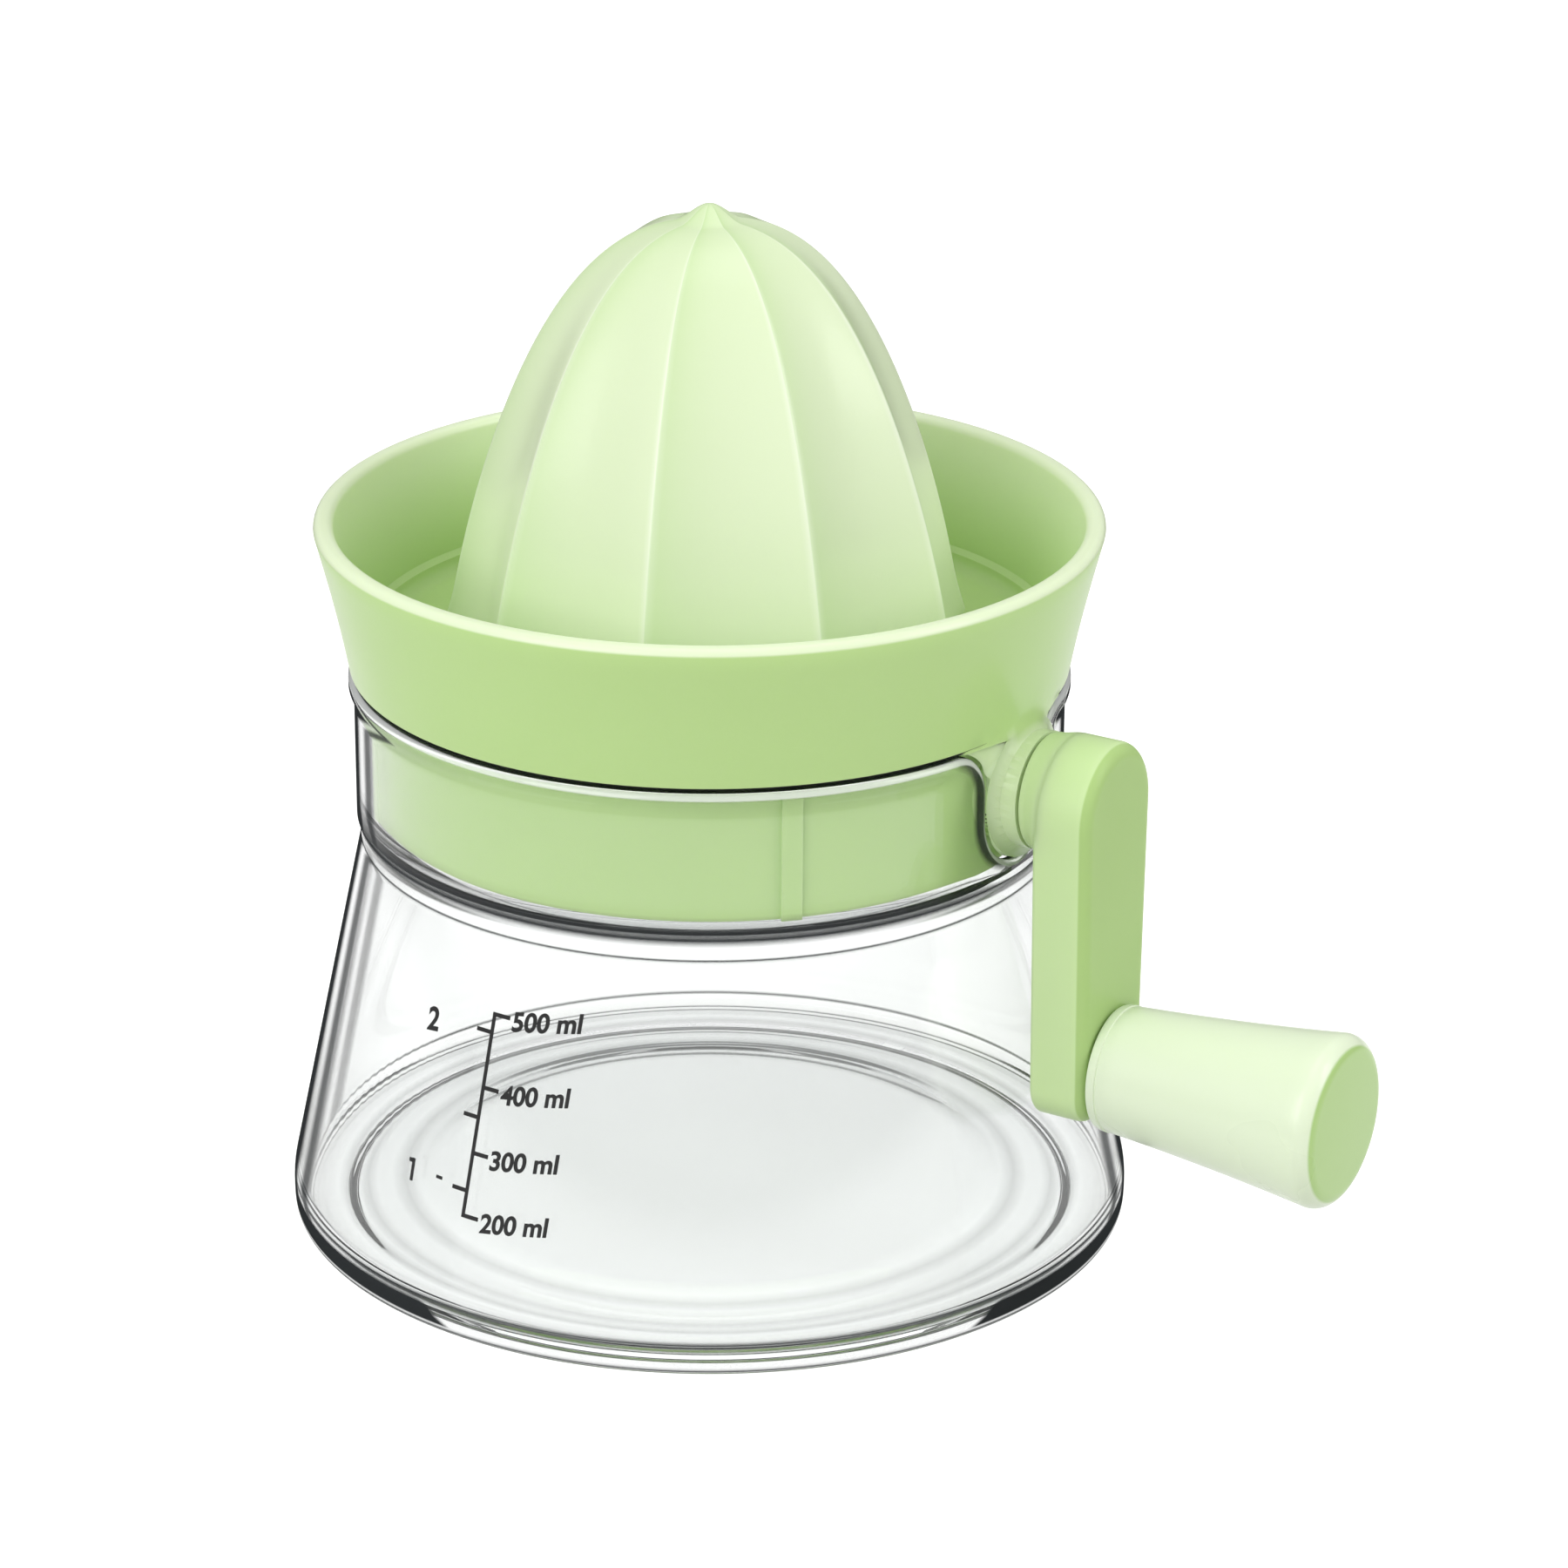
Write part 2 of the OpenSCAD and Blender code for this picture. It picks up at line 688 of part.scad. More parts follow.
module grip_pin() {
    pin_end_x = grip_end_x - grip_cap - loose_gap;
    color(steel) difference() {
        on_grip(arm_x + arm_skin + press_gap)
            cylinder(r = grip_pin_r, h = pin_end_x - arm_x - arm_skin - press_gap);
        on_grip(pin_end_x - snap_back - snap_w)
            ring(grip_pin_r - snap_depth, grip_pin_r + cut, snap_w);
    }
}

module grip() {
    bore = grip_pin_r + run_gap;
    len = grip_len;
    snap_mid = len - grip_cap - loose_gap - snap_back - snap_w / 2;
    bead = snap_w / 2 - loose_gap / 2;
    bead_r = grip_pin_r - snap_depth + loose_gap / 2;
    color(pale_green)
        on_grip(grip_x)
            rotate_extrude()
                polygon(concat(
                    [[bore, 0], [grip_root_r - grip_chamfer, 0], [grip_root_r, grip_chamfer]],
                    arc(grip_r - grip_edge, len - grip_edge, grip_edge, grip_lean, 90),
                    [[0, len], [0, len - grip_cap], [bore, len - grip_cap],
                     [bore, snap_mid + bead], [bead_r, snap_mid + bead / 2],
                     [bead_r, snap_mid - bead / 2], [bore, snap_mid - bead]]));
}

module spindle() {
    color(steel) difference() {
        union() {
            translate([0, 0, cover_top_z]) cylinder(r = journal_r, h = drive_low_z - cover_top_z);
            translate([0, 0, spindle_step_z])
                cylinder(r = shaft_r, h = drive_low_z - spindle_step_z);
            translate([0, 0, drive_low_z - cut]) cylinder(r = drive_r, h = drive_len + cut, $fn = 6);
        }
        translate([0, 0, crown_plate_z + crown_hub_h / 2]) rotate([90, 0, 0])
            cylinder(r = pin_r + press_gap, h = 2 * (shaft_r + cut), center = true, $fn = hole_fn);
    }
}

module crown_gear() {
    color(white) difference() {
        union() {
            intersection() {
                translate([0, 0, crank_z]) rotate(180 / crown_teeth)
                    bevel_body(crown_teeth, crown_cone, crown_toe, crown_heel);
                translate([0, 0, crank_z]) cylinder(r = crown_trim_r, h = crown_heel + cut);
            }
            translate([0, 0, crank_z + crown_heel]) cylinder(r = crown_trim_r, h = crown_plate);
            translate([0, 0, crown_plate_z]) cylinder(r = crown_hub_r, h = crown_hub_h);
        }
        translate([0, 0, crank_z]) cylinder(r = shaft_r + press_gap, h = crown_top_z);
        translate([0, 0, crown_plate_z + crown_hub_h / 2]) rotate([90, 0, 0])
            cylinder(r = pin_r + press_gap, h = 2 * (crown_hub_r + cut), center = true, $fn = hole_fn);
    }
}

module crown_pin() {
    color(steel)
        translate([0, 0, crown_plate_z + crown_hub_h / 2]) rotate([90, 0, 0])
            cylinder(r = pin_r, h = 2 * (crown_hub_r - pin_inset), center = true, $fn = hole_fn);
}

module crown_washer() {
    color(white)
        translate([0, 0, crown_top_z + thrust_gap / 2])
            ring(shaft_r + run_gap, flange_r, washer_t);
}

// Ridged outer form: rings of points stacked from the foot to the tip
module reamer_form() {
    around = ridge_count * ridge_steps;
    rows = [for (k = [0 : reamer_steps - 1]) 1 - pow(1 - k / reamer_steps, row_power)];
    points = concat(
        [for (u = rows, i = [0 : around - 1])
            let (bite = flute_depth * (1 - u * u / 2) * sin(180 * (i % ridge_steps) / ridge_steps),
                 r = reamer_r_at(u) * (1 - bite),
                 turn = ridge_turn + 360 * i / around)
            [r * cos(turn), r * sin(turn), body_h * u + nub_at(reamer_r_at(u))]],
        [[0, 0, reamer_h], [0, 0, 0]]);
    tip = around * reamer_steps;
    faces = concat(
        [for (k = [0 : reamer_steps - 2], i = [0 : around - 1])
            let (j = (i + 1) % around, low = k * around, high = low + around)
            [low + i, high + i, high + j, low + j]],
        [for (i = [0 : around - 1]) [tip - around + i, tip, tip - around + (i + 1) % around]],
        [for (i = [0 : around - 1]) [(i + 1) % around, tip + 1, i]]);
    polyhedron(points, faces);
}

module reamer() {
    inner_share = [for (k = [0 : cavity_steps])
        cavity_share * (1 - pow(1 - k / cavity_steps, cavity_power))];
    inner = [for (u = inner_share) [reamer_r_at(u) * (1 - flute_depth) - reamer_wall, body_h * u]];
    color(pale_green)
        translate([0, 0, reamer_z])
            difference() {
                reamer_form();
                rotate_extrude()
                    polygon(concat([[0, -cut], [inner[0][0], -cut]], inner, [[0, cavity_h]]));
                translate([0, 0, cavity_h - cut])
                    cylinder(r = socket_r + press_gap, h = socket_seat + cut + press_gap);
            }
}

// Six sided socket let into the reamer's crown
module drive_socket() {
    top_z = reamer_z + cavity_h + socket_seat;
    color(white) difference() {
        translate([0, 0, socket_low_z]) cylinder(r = socket_r, h = top_z - socket_low_z);
        translate([0, 0, socket_low_z - cut])
            cylinder(r = drive_r + drive_gap, h = drive_top_z + loose_gap - socket_low_z + cut, $fn = 6);
    }
}

jar();
bowl();
gear_housing();
gear_cover();
cover_gasket();
cover_screws();
shaft_inner_bush();
shaft_outer_bush();
shaft_seal();
crank_washer();
spindle_upper_bush();
spindle_lower_bush();
spindle_seal();
crank_shaft();
pinion();
pinion_pin();
crank_arm();
grip_pin();
grip();
spindle();
crown_gear();
crown_pin();
crown_washer();
reamer();
drive_socket();
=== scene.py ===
from math import asin, cos, pi, radians, sin, sqrt

import bmesh
import bpy
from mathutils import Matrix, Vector


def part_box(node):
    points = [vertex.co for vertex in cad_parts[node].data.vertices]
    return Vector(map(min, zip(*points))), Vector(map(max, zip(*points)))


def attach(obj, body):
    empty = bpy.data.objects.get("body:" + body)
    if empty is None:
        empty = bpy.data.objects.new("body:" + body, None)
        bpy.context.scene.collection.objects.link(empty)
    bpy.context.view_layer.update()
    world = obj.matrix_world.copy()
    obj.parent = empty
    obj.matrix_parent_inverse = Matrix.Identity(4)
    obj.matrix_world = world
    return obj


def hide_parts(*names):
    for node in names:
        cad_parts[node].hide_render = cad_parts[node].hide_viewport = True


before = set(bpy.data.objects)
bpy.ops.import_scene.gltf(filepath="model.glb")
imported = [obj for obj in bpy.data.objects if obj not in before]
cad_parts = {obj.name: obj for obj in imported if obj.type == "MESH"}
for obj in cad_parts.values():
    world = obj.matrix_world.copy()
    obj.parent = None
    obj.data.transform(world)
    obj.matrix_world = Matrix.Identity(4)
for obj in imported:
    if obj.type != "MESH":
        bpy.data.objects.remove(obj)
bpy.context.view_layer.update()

# Lengths of the pieces are in millimetres, turns in degrees, and shares run from 0 to 1.
# A name that ends in R is measured from or along the radius, in Z up from the table, in X along the
# crank's axis, in H upwards; STEPS, ROWS and ROUND count points.
MM = 0.001
# Points closer than this, in metres, are one point
MERGE = 0.001 * MM

# Jar sizes; the base is smaller than the solid's by a hair, to stay inside the solid's box
JAR_BASE_R = 63.98
JAR_H = 86.5
WALL = 2.2
BAND_Z = 5.0
HEEL_IN = 0.1
HEEL_LOW_Z = 0.6
HEEL_TOP_Z = 2.2
FOOT_IN_R = 55.8
FOOT_OUT_R = 61.8
FOOT_H = 1.2
PUNT_R = 46.0
PUNT_H = 0.9
PUNT_SLOPE = 4.0
FLOOR_Z = 3.4
FLOOR_CORNER = 4.0
FLOOR_SPREAD = 0.8
FLOOR_RING_HALF = 3.0
FLOOR_RING_DEPTH = 0.5
FLOOR_STEP_OUT = 1.0
FLOOR_STEP_IN = 3.0
NECK_R = 52.4
NECK_Z = 60.5
NECK_LAND = 1.5
NECK_THICKER = 0.4
SHOULDER_Z = 64.0
INNER_SHOULDER = 1.0
INNER_LEDGE = 1.4
COLLAR_R = 53.0
COLLAR_IN_R = 50.8
COLLAR_MID_R = (COLLAR_R + COLLAR_IN_R) / 2
RIM_BEAD = 0.8
LIP_R = 1.0
LIP_DEPTH = 2.0
SLOT_HALF = 8.22
SLOT_LIP = 7.5
SLOT_LOW_Z = 66.5

# Heights of the crank's and the grip's own axes
CRANK_Z = 77.9
GRIP_Z = 36.9


class Val:
    """A socket in a node tree that takes part in Python arithmetic."""

    def __init__(self, sheet, out):
        self.sheet, self.out = sheet, out

    def math(self, operation, *rest):
        return self.sheet.maths(operation, self, *rest)

    def __add__(self, other):
        return self.sheet.maths("ADD", self, other)

    def __radd__(self, other):
        return self.sheet.maths("ADD", other, self)

    def __sub__(self, other):
        return self.sheet.maths("SUBTRACT", self, other)

    def __rsub__(self, other):
        return self.sheet.maths("SUBTRACT", other, self)

    def __mul__(self, other):
        return self.sheet.maths("MULTIPLY", self, other)

    def __rmul__(self, other):
        return self.sheet.maths("MULTIPLY", other, self)

    def __truediv__(self, other):
        return self.sheet.maths("DIVIDE", self, other)

    def __pow__(self, other):
        return self.sheet.maths("POWER", self, other)


class Sheet:
    """A node tree with one way to add any node to it, and short calls for the nodes used most."""

    def __init__(self, tree):
        self.tree = tree

    def add(self, kind, settings=None, sockets=None):
        """Any node by its type, with its settings first and then its sockets' values or links."""
        node = self.tree.nodes.new(kind)
        for name, value in (settings or {}).items():
            setattr(node, name, value)
        for key, value in (sockets or {}).items():
            socket = node.inputs[key]
            if isinstance(value, Val):
                self.tree.links.new(value.out, socket)
            else:
                socket.default_value = value
        return node

    def val(self, node, key=0):
        return Val(self, node.outputs[key])

    def maths(self, operation, *values):
        return self.val(self.add("ShaderNodeMath", {"operation": operation}, dict(enumerate(values))))

    def blend(self, share, low, high):
        """A colour between two others."""
        mix = self.add("ShaderNodeMix", {"data_type": "RGBA"}, {0: share, 6: low, 7: high})
        return self.val(mix, 2)

    def switch(self, share, first, second):
        """One shader where the share is 0, the other where it is 1."""
        return self.val(self.add("ShaderNodeMixShader", None, {0: share, 1: first, 2: second}))

    def carried(self, name):
        """A share that the mesh carries under a name."""
        return self.val(self.add("ShaderNodeAttribute", {"attribute_name": name}), "Fac")

    def between(self, value, low, high):
        """0 below the low value, 1 above the high one."""
        ramp = self.add("ShaderNodeMapRange", {"interpolation_type": "SMOOTHSTEP"},
                        {"Value": value, "From Min": low, "From Max": high})
        return self.val(ramp)

    def noise(self, place, scale, detail):
        cloud = self.add("ShaderNodeTexNoise", None, {"Vector": place, "Scale": scale, "Detail": detail})
        return self.val(cloud, "Fac")

    def bump(self, strength, distance, height):
        """A normal tilted by a height that changes over the surface."""
        tilt = self.add("ShaderNodeBump", None,
                        {"Strength": strength, "Distance": distance, "Height": height})
        return self.val(tilt, "Normal")

    def principled(self, sockets):
        return self.val(self.add("ShaderNodeBsdfPrincipled", None, sockets))

    def glow(self, strength):
        return self.val(self.add("ShaderNodeEmission", None, {"Strength": strength}))

    def looked_at(self, *kinds):
        """1 for the kinds of ray named, 0 for the others."""
        path = self.add("ShaderNodeLightPath")
        total = self.val(path, kinds[0])
        for kind in kinds[1:]:
            total = total.math("MAXIMUM", self.val(path, kind))
        return total


# Materials

def linear(red, green, blue):
    """A colour on the 0 to 255 screen scale as linear light."""
    def step(c):
        c /= 255
        return c / 12.92 if c <= 0.04045 else ((c + 0.055) / 1.055) ** 2.4
    return (step(red), step(green), step(blue), 1.0)


def new_material(name):
    material = bpy.data.materials.new(name)
    material.use_nodes = True
    material.node_tree.nodes.clear()
    return material, Sheet(material.node_tree)


def finish_material(sheet, shader):
    sheet.add("ShaderNodeOutputMaterial", None, {"Surface": shader})


def object_place(sheet):
    return sheet.val(sheet.add("ShaderNodeTexCoord"), "Object")


NOISE_MIDDLE = 0.5
CLOUD_PART = 0.75
# Tints for painted shade and painted light on the green plastic
NEAR_BLACK = linear(18, 24, 14)
PAINTED_LIGHT_GREEN = linear(232, 243, 214)


def moulded_plastic(name, colour, deeper, gloss, spread, grain, grain_depth, coat, glow_depth,
                    shine=0.5, painted_tint=None, shade_tint=NEAR_BLACK):
    """Moulded plastic: cloudy colour, uneven gloss, fine tool grain, painted light and shade from the mesh.
    """
    material, sheet = new_material(name)
    place = object_place(sheet)
    cloud = sheet.noise(place, scale=38.0, detail=3.0)
    fine = sheet.noise(place, scale=grain, detail=2.0)
    tint = sheet.blend(cloud * CLOUD_PART + fine * (1 - CLOUD_PART), colour, deeper)
    # Painted light and shade: the edge share turns the colour to the painted tint, lighter for a painted
    # highlight and deeper for painted shade, and the shade share to the shade tint
    if painted_tint:
        tint = sheet.blend(sheet.carried("edge"), tint, painted_tint)
        tint = sheet.blend(sheet.carried("shade"), tint, shade_tint)
    finish_material(sheet, sheet.principled({
        "Base Color": tint,
        "Roughness": gloss + (cloud - NOISE_MIDDLE) * spread,
        "IOR": 1.48,
        "Specular IOR Level": shine,
        "Coat Weight": coat,
        "Coat Roughness": 0.12,
        "Subsurface Weight": glow_depth,
        "Subsurface Scale": 0.005,
        "Subsurface Radius": (1.0, 1.0, 0.7),
        "Normal": sheet.bump(strength=0.3, distance=grain_depth, height=fine),
    }))
    return material


# How far the clear wall turns from the eye, 0 square on and 1 edge on, where a painted tone starts or ends
EDGE_DARK = (0.83, 0.89)
INNER_LINE_STARTS = (0.7, 0.75)
INNER_LINE_ENDS = (0.77, 0.82)
BAND_DARK = (0.335, 0.355)
SHEEN_ENDS = (0.225, 0.245)
# Tints of the clear wall, how late it deepens to painted shade towards an edge, and the most that a tone
# covers
CLEAR_TINT = (0.985, 0.99, 0.99, 1.0)
DEEP_TINT = (0.05, 0.055, 0.06, 1.0)
DEEP_FALL = 4.0
INNER_LINE_SHARE = 0.85
RIM_GLINT_SHARE = 0.55
CLEAR_IOR = 1.46


def clear_moulding():
    """Clear polished moulding: faint flow ripple, painted shade on edges, painted glint on its rim; light
    passes.
    """
    material, sheet = new_material("clear_moulding")
    flow = sheet.noise(object_place(sheet), scale=22.0, detail=1.0)
    facing = sheet.val(sheet.add("ShaderNodeLayerWeight", None, {"Blend": 0.5}), "Facing")
    clear = sheet.principled({
        "Base Color": sheet.blend(facing ** DEEP_FALL, CLEAR_TINT, DEEP_TINT),
        "Roughness": 0.002 + flow * 0.006,
        "IOR": CLEAR_IOR,
        "Transmission Weight": 1.0,
        "Normal": sheet.bump(strength=0.04, distance=0.0004, height=flow),
    })
    # Near-black without gloss, for the painted shade on edges, lines and the foot band
    dark = sheet.principled({
        "Base Color": (0.03, 0.033, 0.035, 1.0),
        "Roughness": 0.4 + flow * 0.1,
        "Specular IOR Level": 0.0,
    })
    # Whitish, for the painted glint on the rim and the painted sheen on the cone
    painted_glint = sheet.principled({
        "Base Color": (0.93, 0.95, 0.94, 1.0),
        "Roughness": 0.12 + flow * 0.06,
        "IOR": CLEAR_IOR,
    })
    # Painted shade: edge on, in a thinner line inside that, on the mesh's lines, and on the foot band at the
    # sides
    inner_line = sheet.between(facing, *INNER_LINE_STARTS) * (1 - sheet.between(facing, *INNER_LINE_ENDS))
    grazing = sheet.between(facing, *EDGE_DARK).math("MAXIMUM", inner_line * INNER_LINE_SHARE)
    grazing = grazing * (1 - sheet.carried("plain"))
    band = sheet.carried("band") * sheet.between(facing, *BAND_DARK)
    lines = grazing.math("MAXIMUM", sheet.carried("line")).math("MAXIMUM", band)
    # Painted sheen on the cone where it faces the eye, and a painted glint on the rim bead
    film = sheet.carried("film") * (1 - sheet.between(facing, *SHEEN_ENDS))
    glint_share = (sheet.carried("bead") * RIM_GLINT_SHARE).math("MAXIMUM", film)
    seen = sheet.switch(glint_share, sheet.switch(lines, clear, dark), painted_glint)
    through = sheet.val(sheet.add("ShaderNodeBsdfTransparent", None, {"Color": (0.96, 0.97, 0.97, 1.0)}))
    unseen = sheet.looked_at("Is Shadow Ray", "Is Diffuse Ray")
    finish_material(sheet, sheet.switch(unseen, seen, through))
    return material


def metal(name, colour, gloss, scratch, spread=0.2):
    """Metal with fine tool marks."""
    material, sheet = new_material(name)
    marks = sheet.noise(object_place(sheet), scale=scratch, detail=4.0)
    finish_material(sheet, sheet.principled({
        "Base Color": colour,
        "Metallic": 1.0,
        "Roughness": gloss + (marks - NOISE_MIDDLE) * spread,
        "Normal": sheet.bump(strength=0.2, distance=0.00005, height=marks),
    }))
    return material


GREEN = moulded_plastic(
    "satin_green", linear(187, 216, 145), linear(181, 211, 138), gloss=0.3, spread=0.06, grain=1800.0,
    grain_depth=0.00003, coat=0.15, glow_depth=0.25, shine=0.35, painted_tint=PAINTED_LIGHT_GREEN)
ARM_GREEN = moulded_plastic(
    "arm_green", linear(184, 215, 140), linear(178, 210, 133), gloss=0.36, spread=0.06, grain=1800.0,
    grain_depth=0.00003, coat=0.03, glow_depth=0.25, shine=0.15, painted_tint=PAINTED_LIGHT_GREEN)
# The reamer's painted highlight on its ridges and its green painted shade
PALE_GREEN = moulded_plastic(
    "pale_green", linear(225, 237, 204), linear(221, 234, 198), gloss=0.3, spread=0.06, grain=1500.0,
    grain_depth=0.00003, coat=0.15, glow_depth=0.1, shine=0.35, painted_tint=linear(243, 248, 232),
    shade_tint=linear(150, 196, 95))
# The grip's painted tint is a deeper green, painted shade on its end
GRIP_GREEN = moulded_plastic(
    "grip_green", linear(226, 238, 210), linear(222, 235, 204), gloss=0.28, spread=0.06, grain=1500.0,
    grain_depth=0.00003, coat=0.2, glow_depth=0.1, shine=0.35, painted_tint=linear(174, 206, 130))
WHITE = moulded_plastic(
    "white_nylon", linear(236, 235, 226), linear(226, 225, 214), gloss=0.45, spread=0.1, grain=1600.0,
    grain_depth=0.00004, coat=0.0, glow_depth=0.1)
RUBBER = moulded_plastic(
    "seal_rubber", linear(52, 52, 54), linear(38, 38, 40), gloss=0.7, spread=0.1, grain=1400.0,
    grain_depth=0.00005, coat=0.0, glow_depth=0.0)
INK = moulded_plastic(
    "scale_ink", linear(16, 16, 16), linear(28, 28, 28), gloss=0.5, spread=0.1, grain=2400.0,
    grain_depth=0.00002, coat=0.0, glow_depth=0.0)
STEEL = metal("turned_steel", linear(198, 200, 204), gloss=0.3, scratch=900.0)
BRONZE = metal("sintered_bronze", linear(190, 146, 84), gloss=0.42, scratch=1500.0)
CLEAR = clear_moulding()

# Solids that keep their own shape, by finish
for material, nodes in (
        (GREEN, ("gear_housing", "gear_cover")),
        (WHITE, ("drive_socket", "crank_washer", "pinion", "crown_gear", "crown_washer")),
        (RUBBER, ("cover_gasket", "shaft_seal", "spindle_seal")),
        (STEEL, ("cover_screws", "crank_shaft", "pinion_pin", "grip_pin", "spindle", "crown_pin")),
        (BRONZE, ("shaft_inner_bush", "shaft_outer_bush", "spindle_upper_bush", "spindle_lower_bush"))):
    for node in nodes:
        for slot in bpy.data.objects[node].material_slots:
            slot.material = material


# Mesh helpers

def shade_smooth(work, sharp):
    """Shade smooth except at open edges and at edges that turn more than an angle."""
    for face in work.faces:
        face.smooth = True
    for edge in work.edges:
        edge.smooth = len(edge.link_faces) == 2 and edge.calc_face_angle(0) < radians(sharp)


def clean_mesh(mesh, sharp):
    """Merge doubles, turn faces outward, and shade smooth except at sharp edges."""
    work = bmesh.new()
    work.from_mesh(mesh)
    bmesh.ops.remove_doubles(work, verts=work.verts, dist=MERGE)
    bmesh.ops.dissolve_degenerate(work, edges=work.edges, dist=MERGE / 2)
    bmesh.ops.recalc_face_normals(work, faces=work.faces)
    shade_smooth(work, sharp)
    work.to_mesh(mesh)
    work.free()


def carry(mesh, share, values, domain="POINT"):
    """Store a share under a name for each point or face of a mesh."""
    mesh.attributes.new(share, "FLOAT", domain).data.foreach_set("value", values)


def settle(mesh, material, body, node):
    """Put a finished mesh in the scene as a piece that rides on a body."""
    mesh.materials.clear()
    mesh.materials.append(material)
    piece = bpy.data.objects.new(mesh.name, mesh)
    bpy.context.scene.collection.objects.link(piece)
    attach(piece, body)
    if node:
        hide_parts(node)


def add_piece(name, shape, material, body, node, sharp):
    """A piece from a shape: points in millimetres, faces, and the shares that its points carry."""
    verts, faces, shares = shape
    mesh = bpy.data.meshes.new(name)
    mesh.from_pydata([tuple(c * MM for c in v) for v in verts], [], faces)
    for share, values in shares.items():
        carry(mesh, share, values)
    clean_mesh(mesh, sharp)
    settle(mesh, material, body, node)


def plain_mesh(holder, name):
    """The shape that an object makes, as a plain mesh; the object and its modifiers go."""
    view = bpy.context.evaluated_depsgraph_get()
    mesh = bpy.data.meshes.new_from_object(holder.evaluated_get(view), depsgraph=view)
    holder.modifiers.clear()
    bpy.data.objects.remove(holder)
    mesh.name = name
    return mesh


def named_inputs(tree, sizes):
    """Give a tree inputs by name, kind and value, and one mesh output."""
    for name, kind, value in sizes:
        socket = tree.interface.new_socket(name, in_out="INPUT", socket_type=kind)
        if value is not None:
            socket.default_value = value
    tree.interface.new_socket("Mesh", in_out="OUTPUT", socket_type="NodeSocketGeometry")


def bake_tree(name, tree, values, seed_mesh):
    """Run a tree once on a mesh and hand back its result as a plain mesh."""
    holder = bpy.data.objects.new(name + "_holder", seed_mesh)
    bpy.context.scene.collection.objects.link(holder)
    modifier = holder.modifiers.new("form", "NODES")
    modifier.node_group = tree
    for item in tree.interface.items_tree:
        if item.in_out == "INPUT" and item.name in values:
            modifier[item.identifier] = values[item.name]
    return plain_mesh(holder, name)


def bow(start, middle, end, steps):
    """Points of a curve from start to end that leans towards a middle point."""
    points = []
    for k in range(steps + 1):
        t = k / steps
        points.append(start * (1 - t) ** 2 + middle * 2 * t * (1 - t) + end * t * t)
    return points


def rounded(corners, steps):
    """A path through corners of radius, height and rounding, each inner corner turned into a bow."""
    most_of_side = 0.49
    out = [corners[0][:2]]
    for before, corner, after in zip(corners, corners[1:], corners[2:]):
        here = Vector(corner[:2])
        back, ahead = Vector(before[:2]) - here, Vector(after[:2]) - here
        reach = min(corner[2], most_of_side * back.length, most_of_side * ahead.length)
        start, end = here + back.normalized() * reach, here + ahead.normalized() * reach
        out += [tuple(point) for point in bow(start, here, end, steps)]
    out.append(corners[-1][:2])
    return out


def quarter(steps):
    """Sine and cosine at even steps over a quarter turn."""
    turns = [pi / 2 * k / steps for k in range(steps + 1)]
    return [(sin(a), cos(a)) for a in turns]


def arc(y, z, radius, start, sweep, steps):
    """Points on an arc round a middle, from a start over a sweep, both in radians."""
    turns = [start + sweep * k / steps for k in range(steps + 1)]
    return [(y + radius * cos(a), z + radius * sin(a)) for a in turns]


def grid_faces(columns, rows):
    """Faces of a closed band of columns, stored column by column."""
    faces = []
    for i in range(columns):
        j = (i + 1) % columns
        for k in range(rows - 1):
            faces.append((i * rows + k, j * rows + k, j * rows + k + 1, i * rows + k + 1))
    return faces


def turned(path, around, axis_z):
    """A turned shape round a level line along X: path of radius, x and how far the middle drops."""
    verts = []
    for i in range(around):
        a = 2 * pi * i / around
        verts += [(x, r * cos(a), axis_z - drop + r * sin(a)) for r, x, drop in path]
    return verts, grid_faces(around, len(path))


# Jar

SLOT_ROUND_STEPS = 15
SLOT_SIDE_STEPS = 6
SLOT_LIP_STEPS = 18
SLOT_POINTS = SLOT_ROUND_STEPS + SLOT_SIDE_STEPS + SLOT_LIP_STEPS + 1
RIM_STEPS = 90
LIP_STEPS = 7
OUTSIDE_STEPS = 5
INSIDE_STEPS = 9
SHOULDER_BLEND = 42.0
# Shares of the way up the collar, closer together towards the rim
COLLAR_LEVELS = (0.0, 0.18, 0.36, 0.54, 0.72, 0.86, 0.95, 1.0)
# Radius and height of the dark lines painted outside as shade, and how far each fades
OUTER_LINES = ((62.7, 0.2), (63.9, 1.2), (63.8, 5.4), (NECK_R, 60.6), (COLLAR_R - 0.1, 63.6))
OUTER_FADE = 0.3
# Share of painted shadow along the top of the lip, in the gap under the bowl
RIM_LINE = 0.95
# Where the foot band turns dark at the sides, as painted shade
BAND_FROM_R = 63.4
BAND_LOW_Z = 1.6
BAND_TOP_Z = 4.7
# Share and lowest height of the painted sheen on the cone
SHEEN_SHARE = 0.15
SHEEN_LOW_Z = 5.6
# Rows that the painted dark edge leaves out
PLAIN_FOOT_Z = 1.6
PLAIN_NECK_Z = NECK_Z + 0.4
PLAIN_SHOULDER_Z = SHOULDER_Z - 0.6


def cone_r(z):
    """The jar's outer radius at a height on its cone."""
    return JAR_BASE_R + (NECK_R - JAR_BASE_R) * (z - BAND_Z) / (NECK_Z - BAND_Z)


INNER_FOOT_R = cone_r(FLOOR_Z + FLOOR_CORNER) - WALL
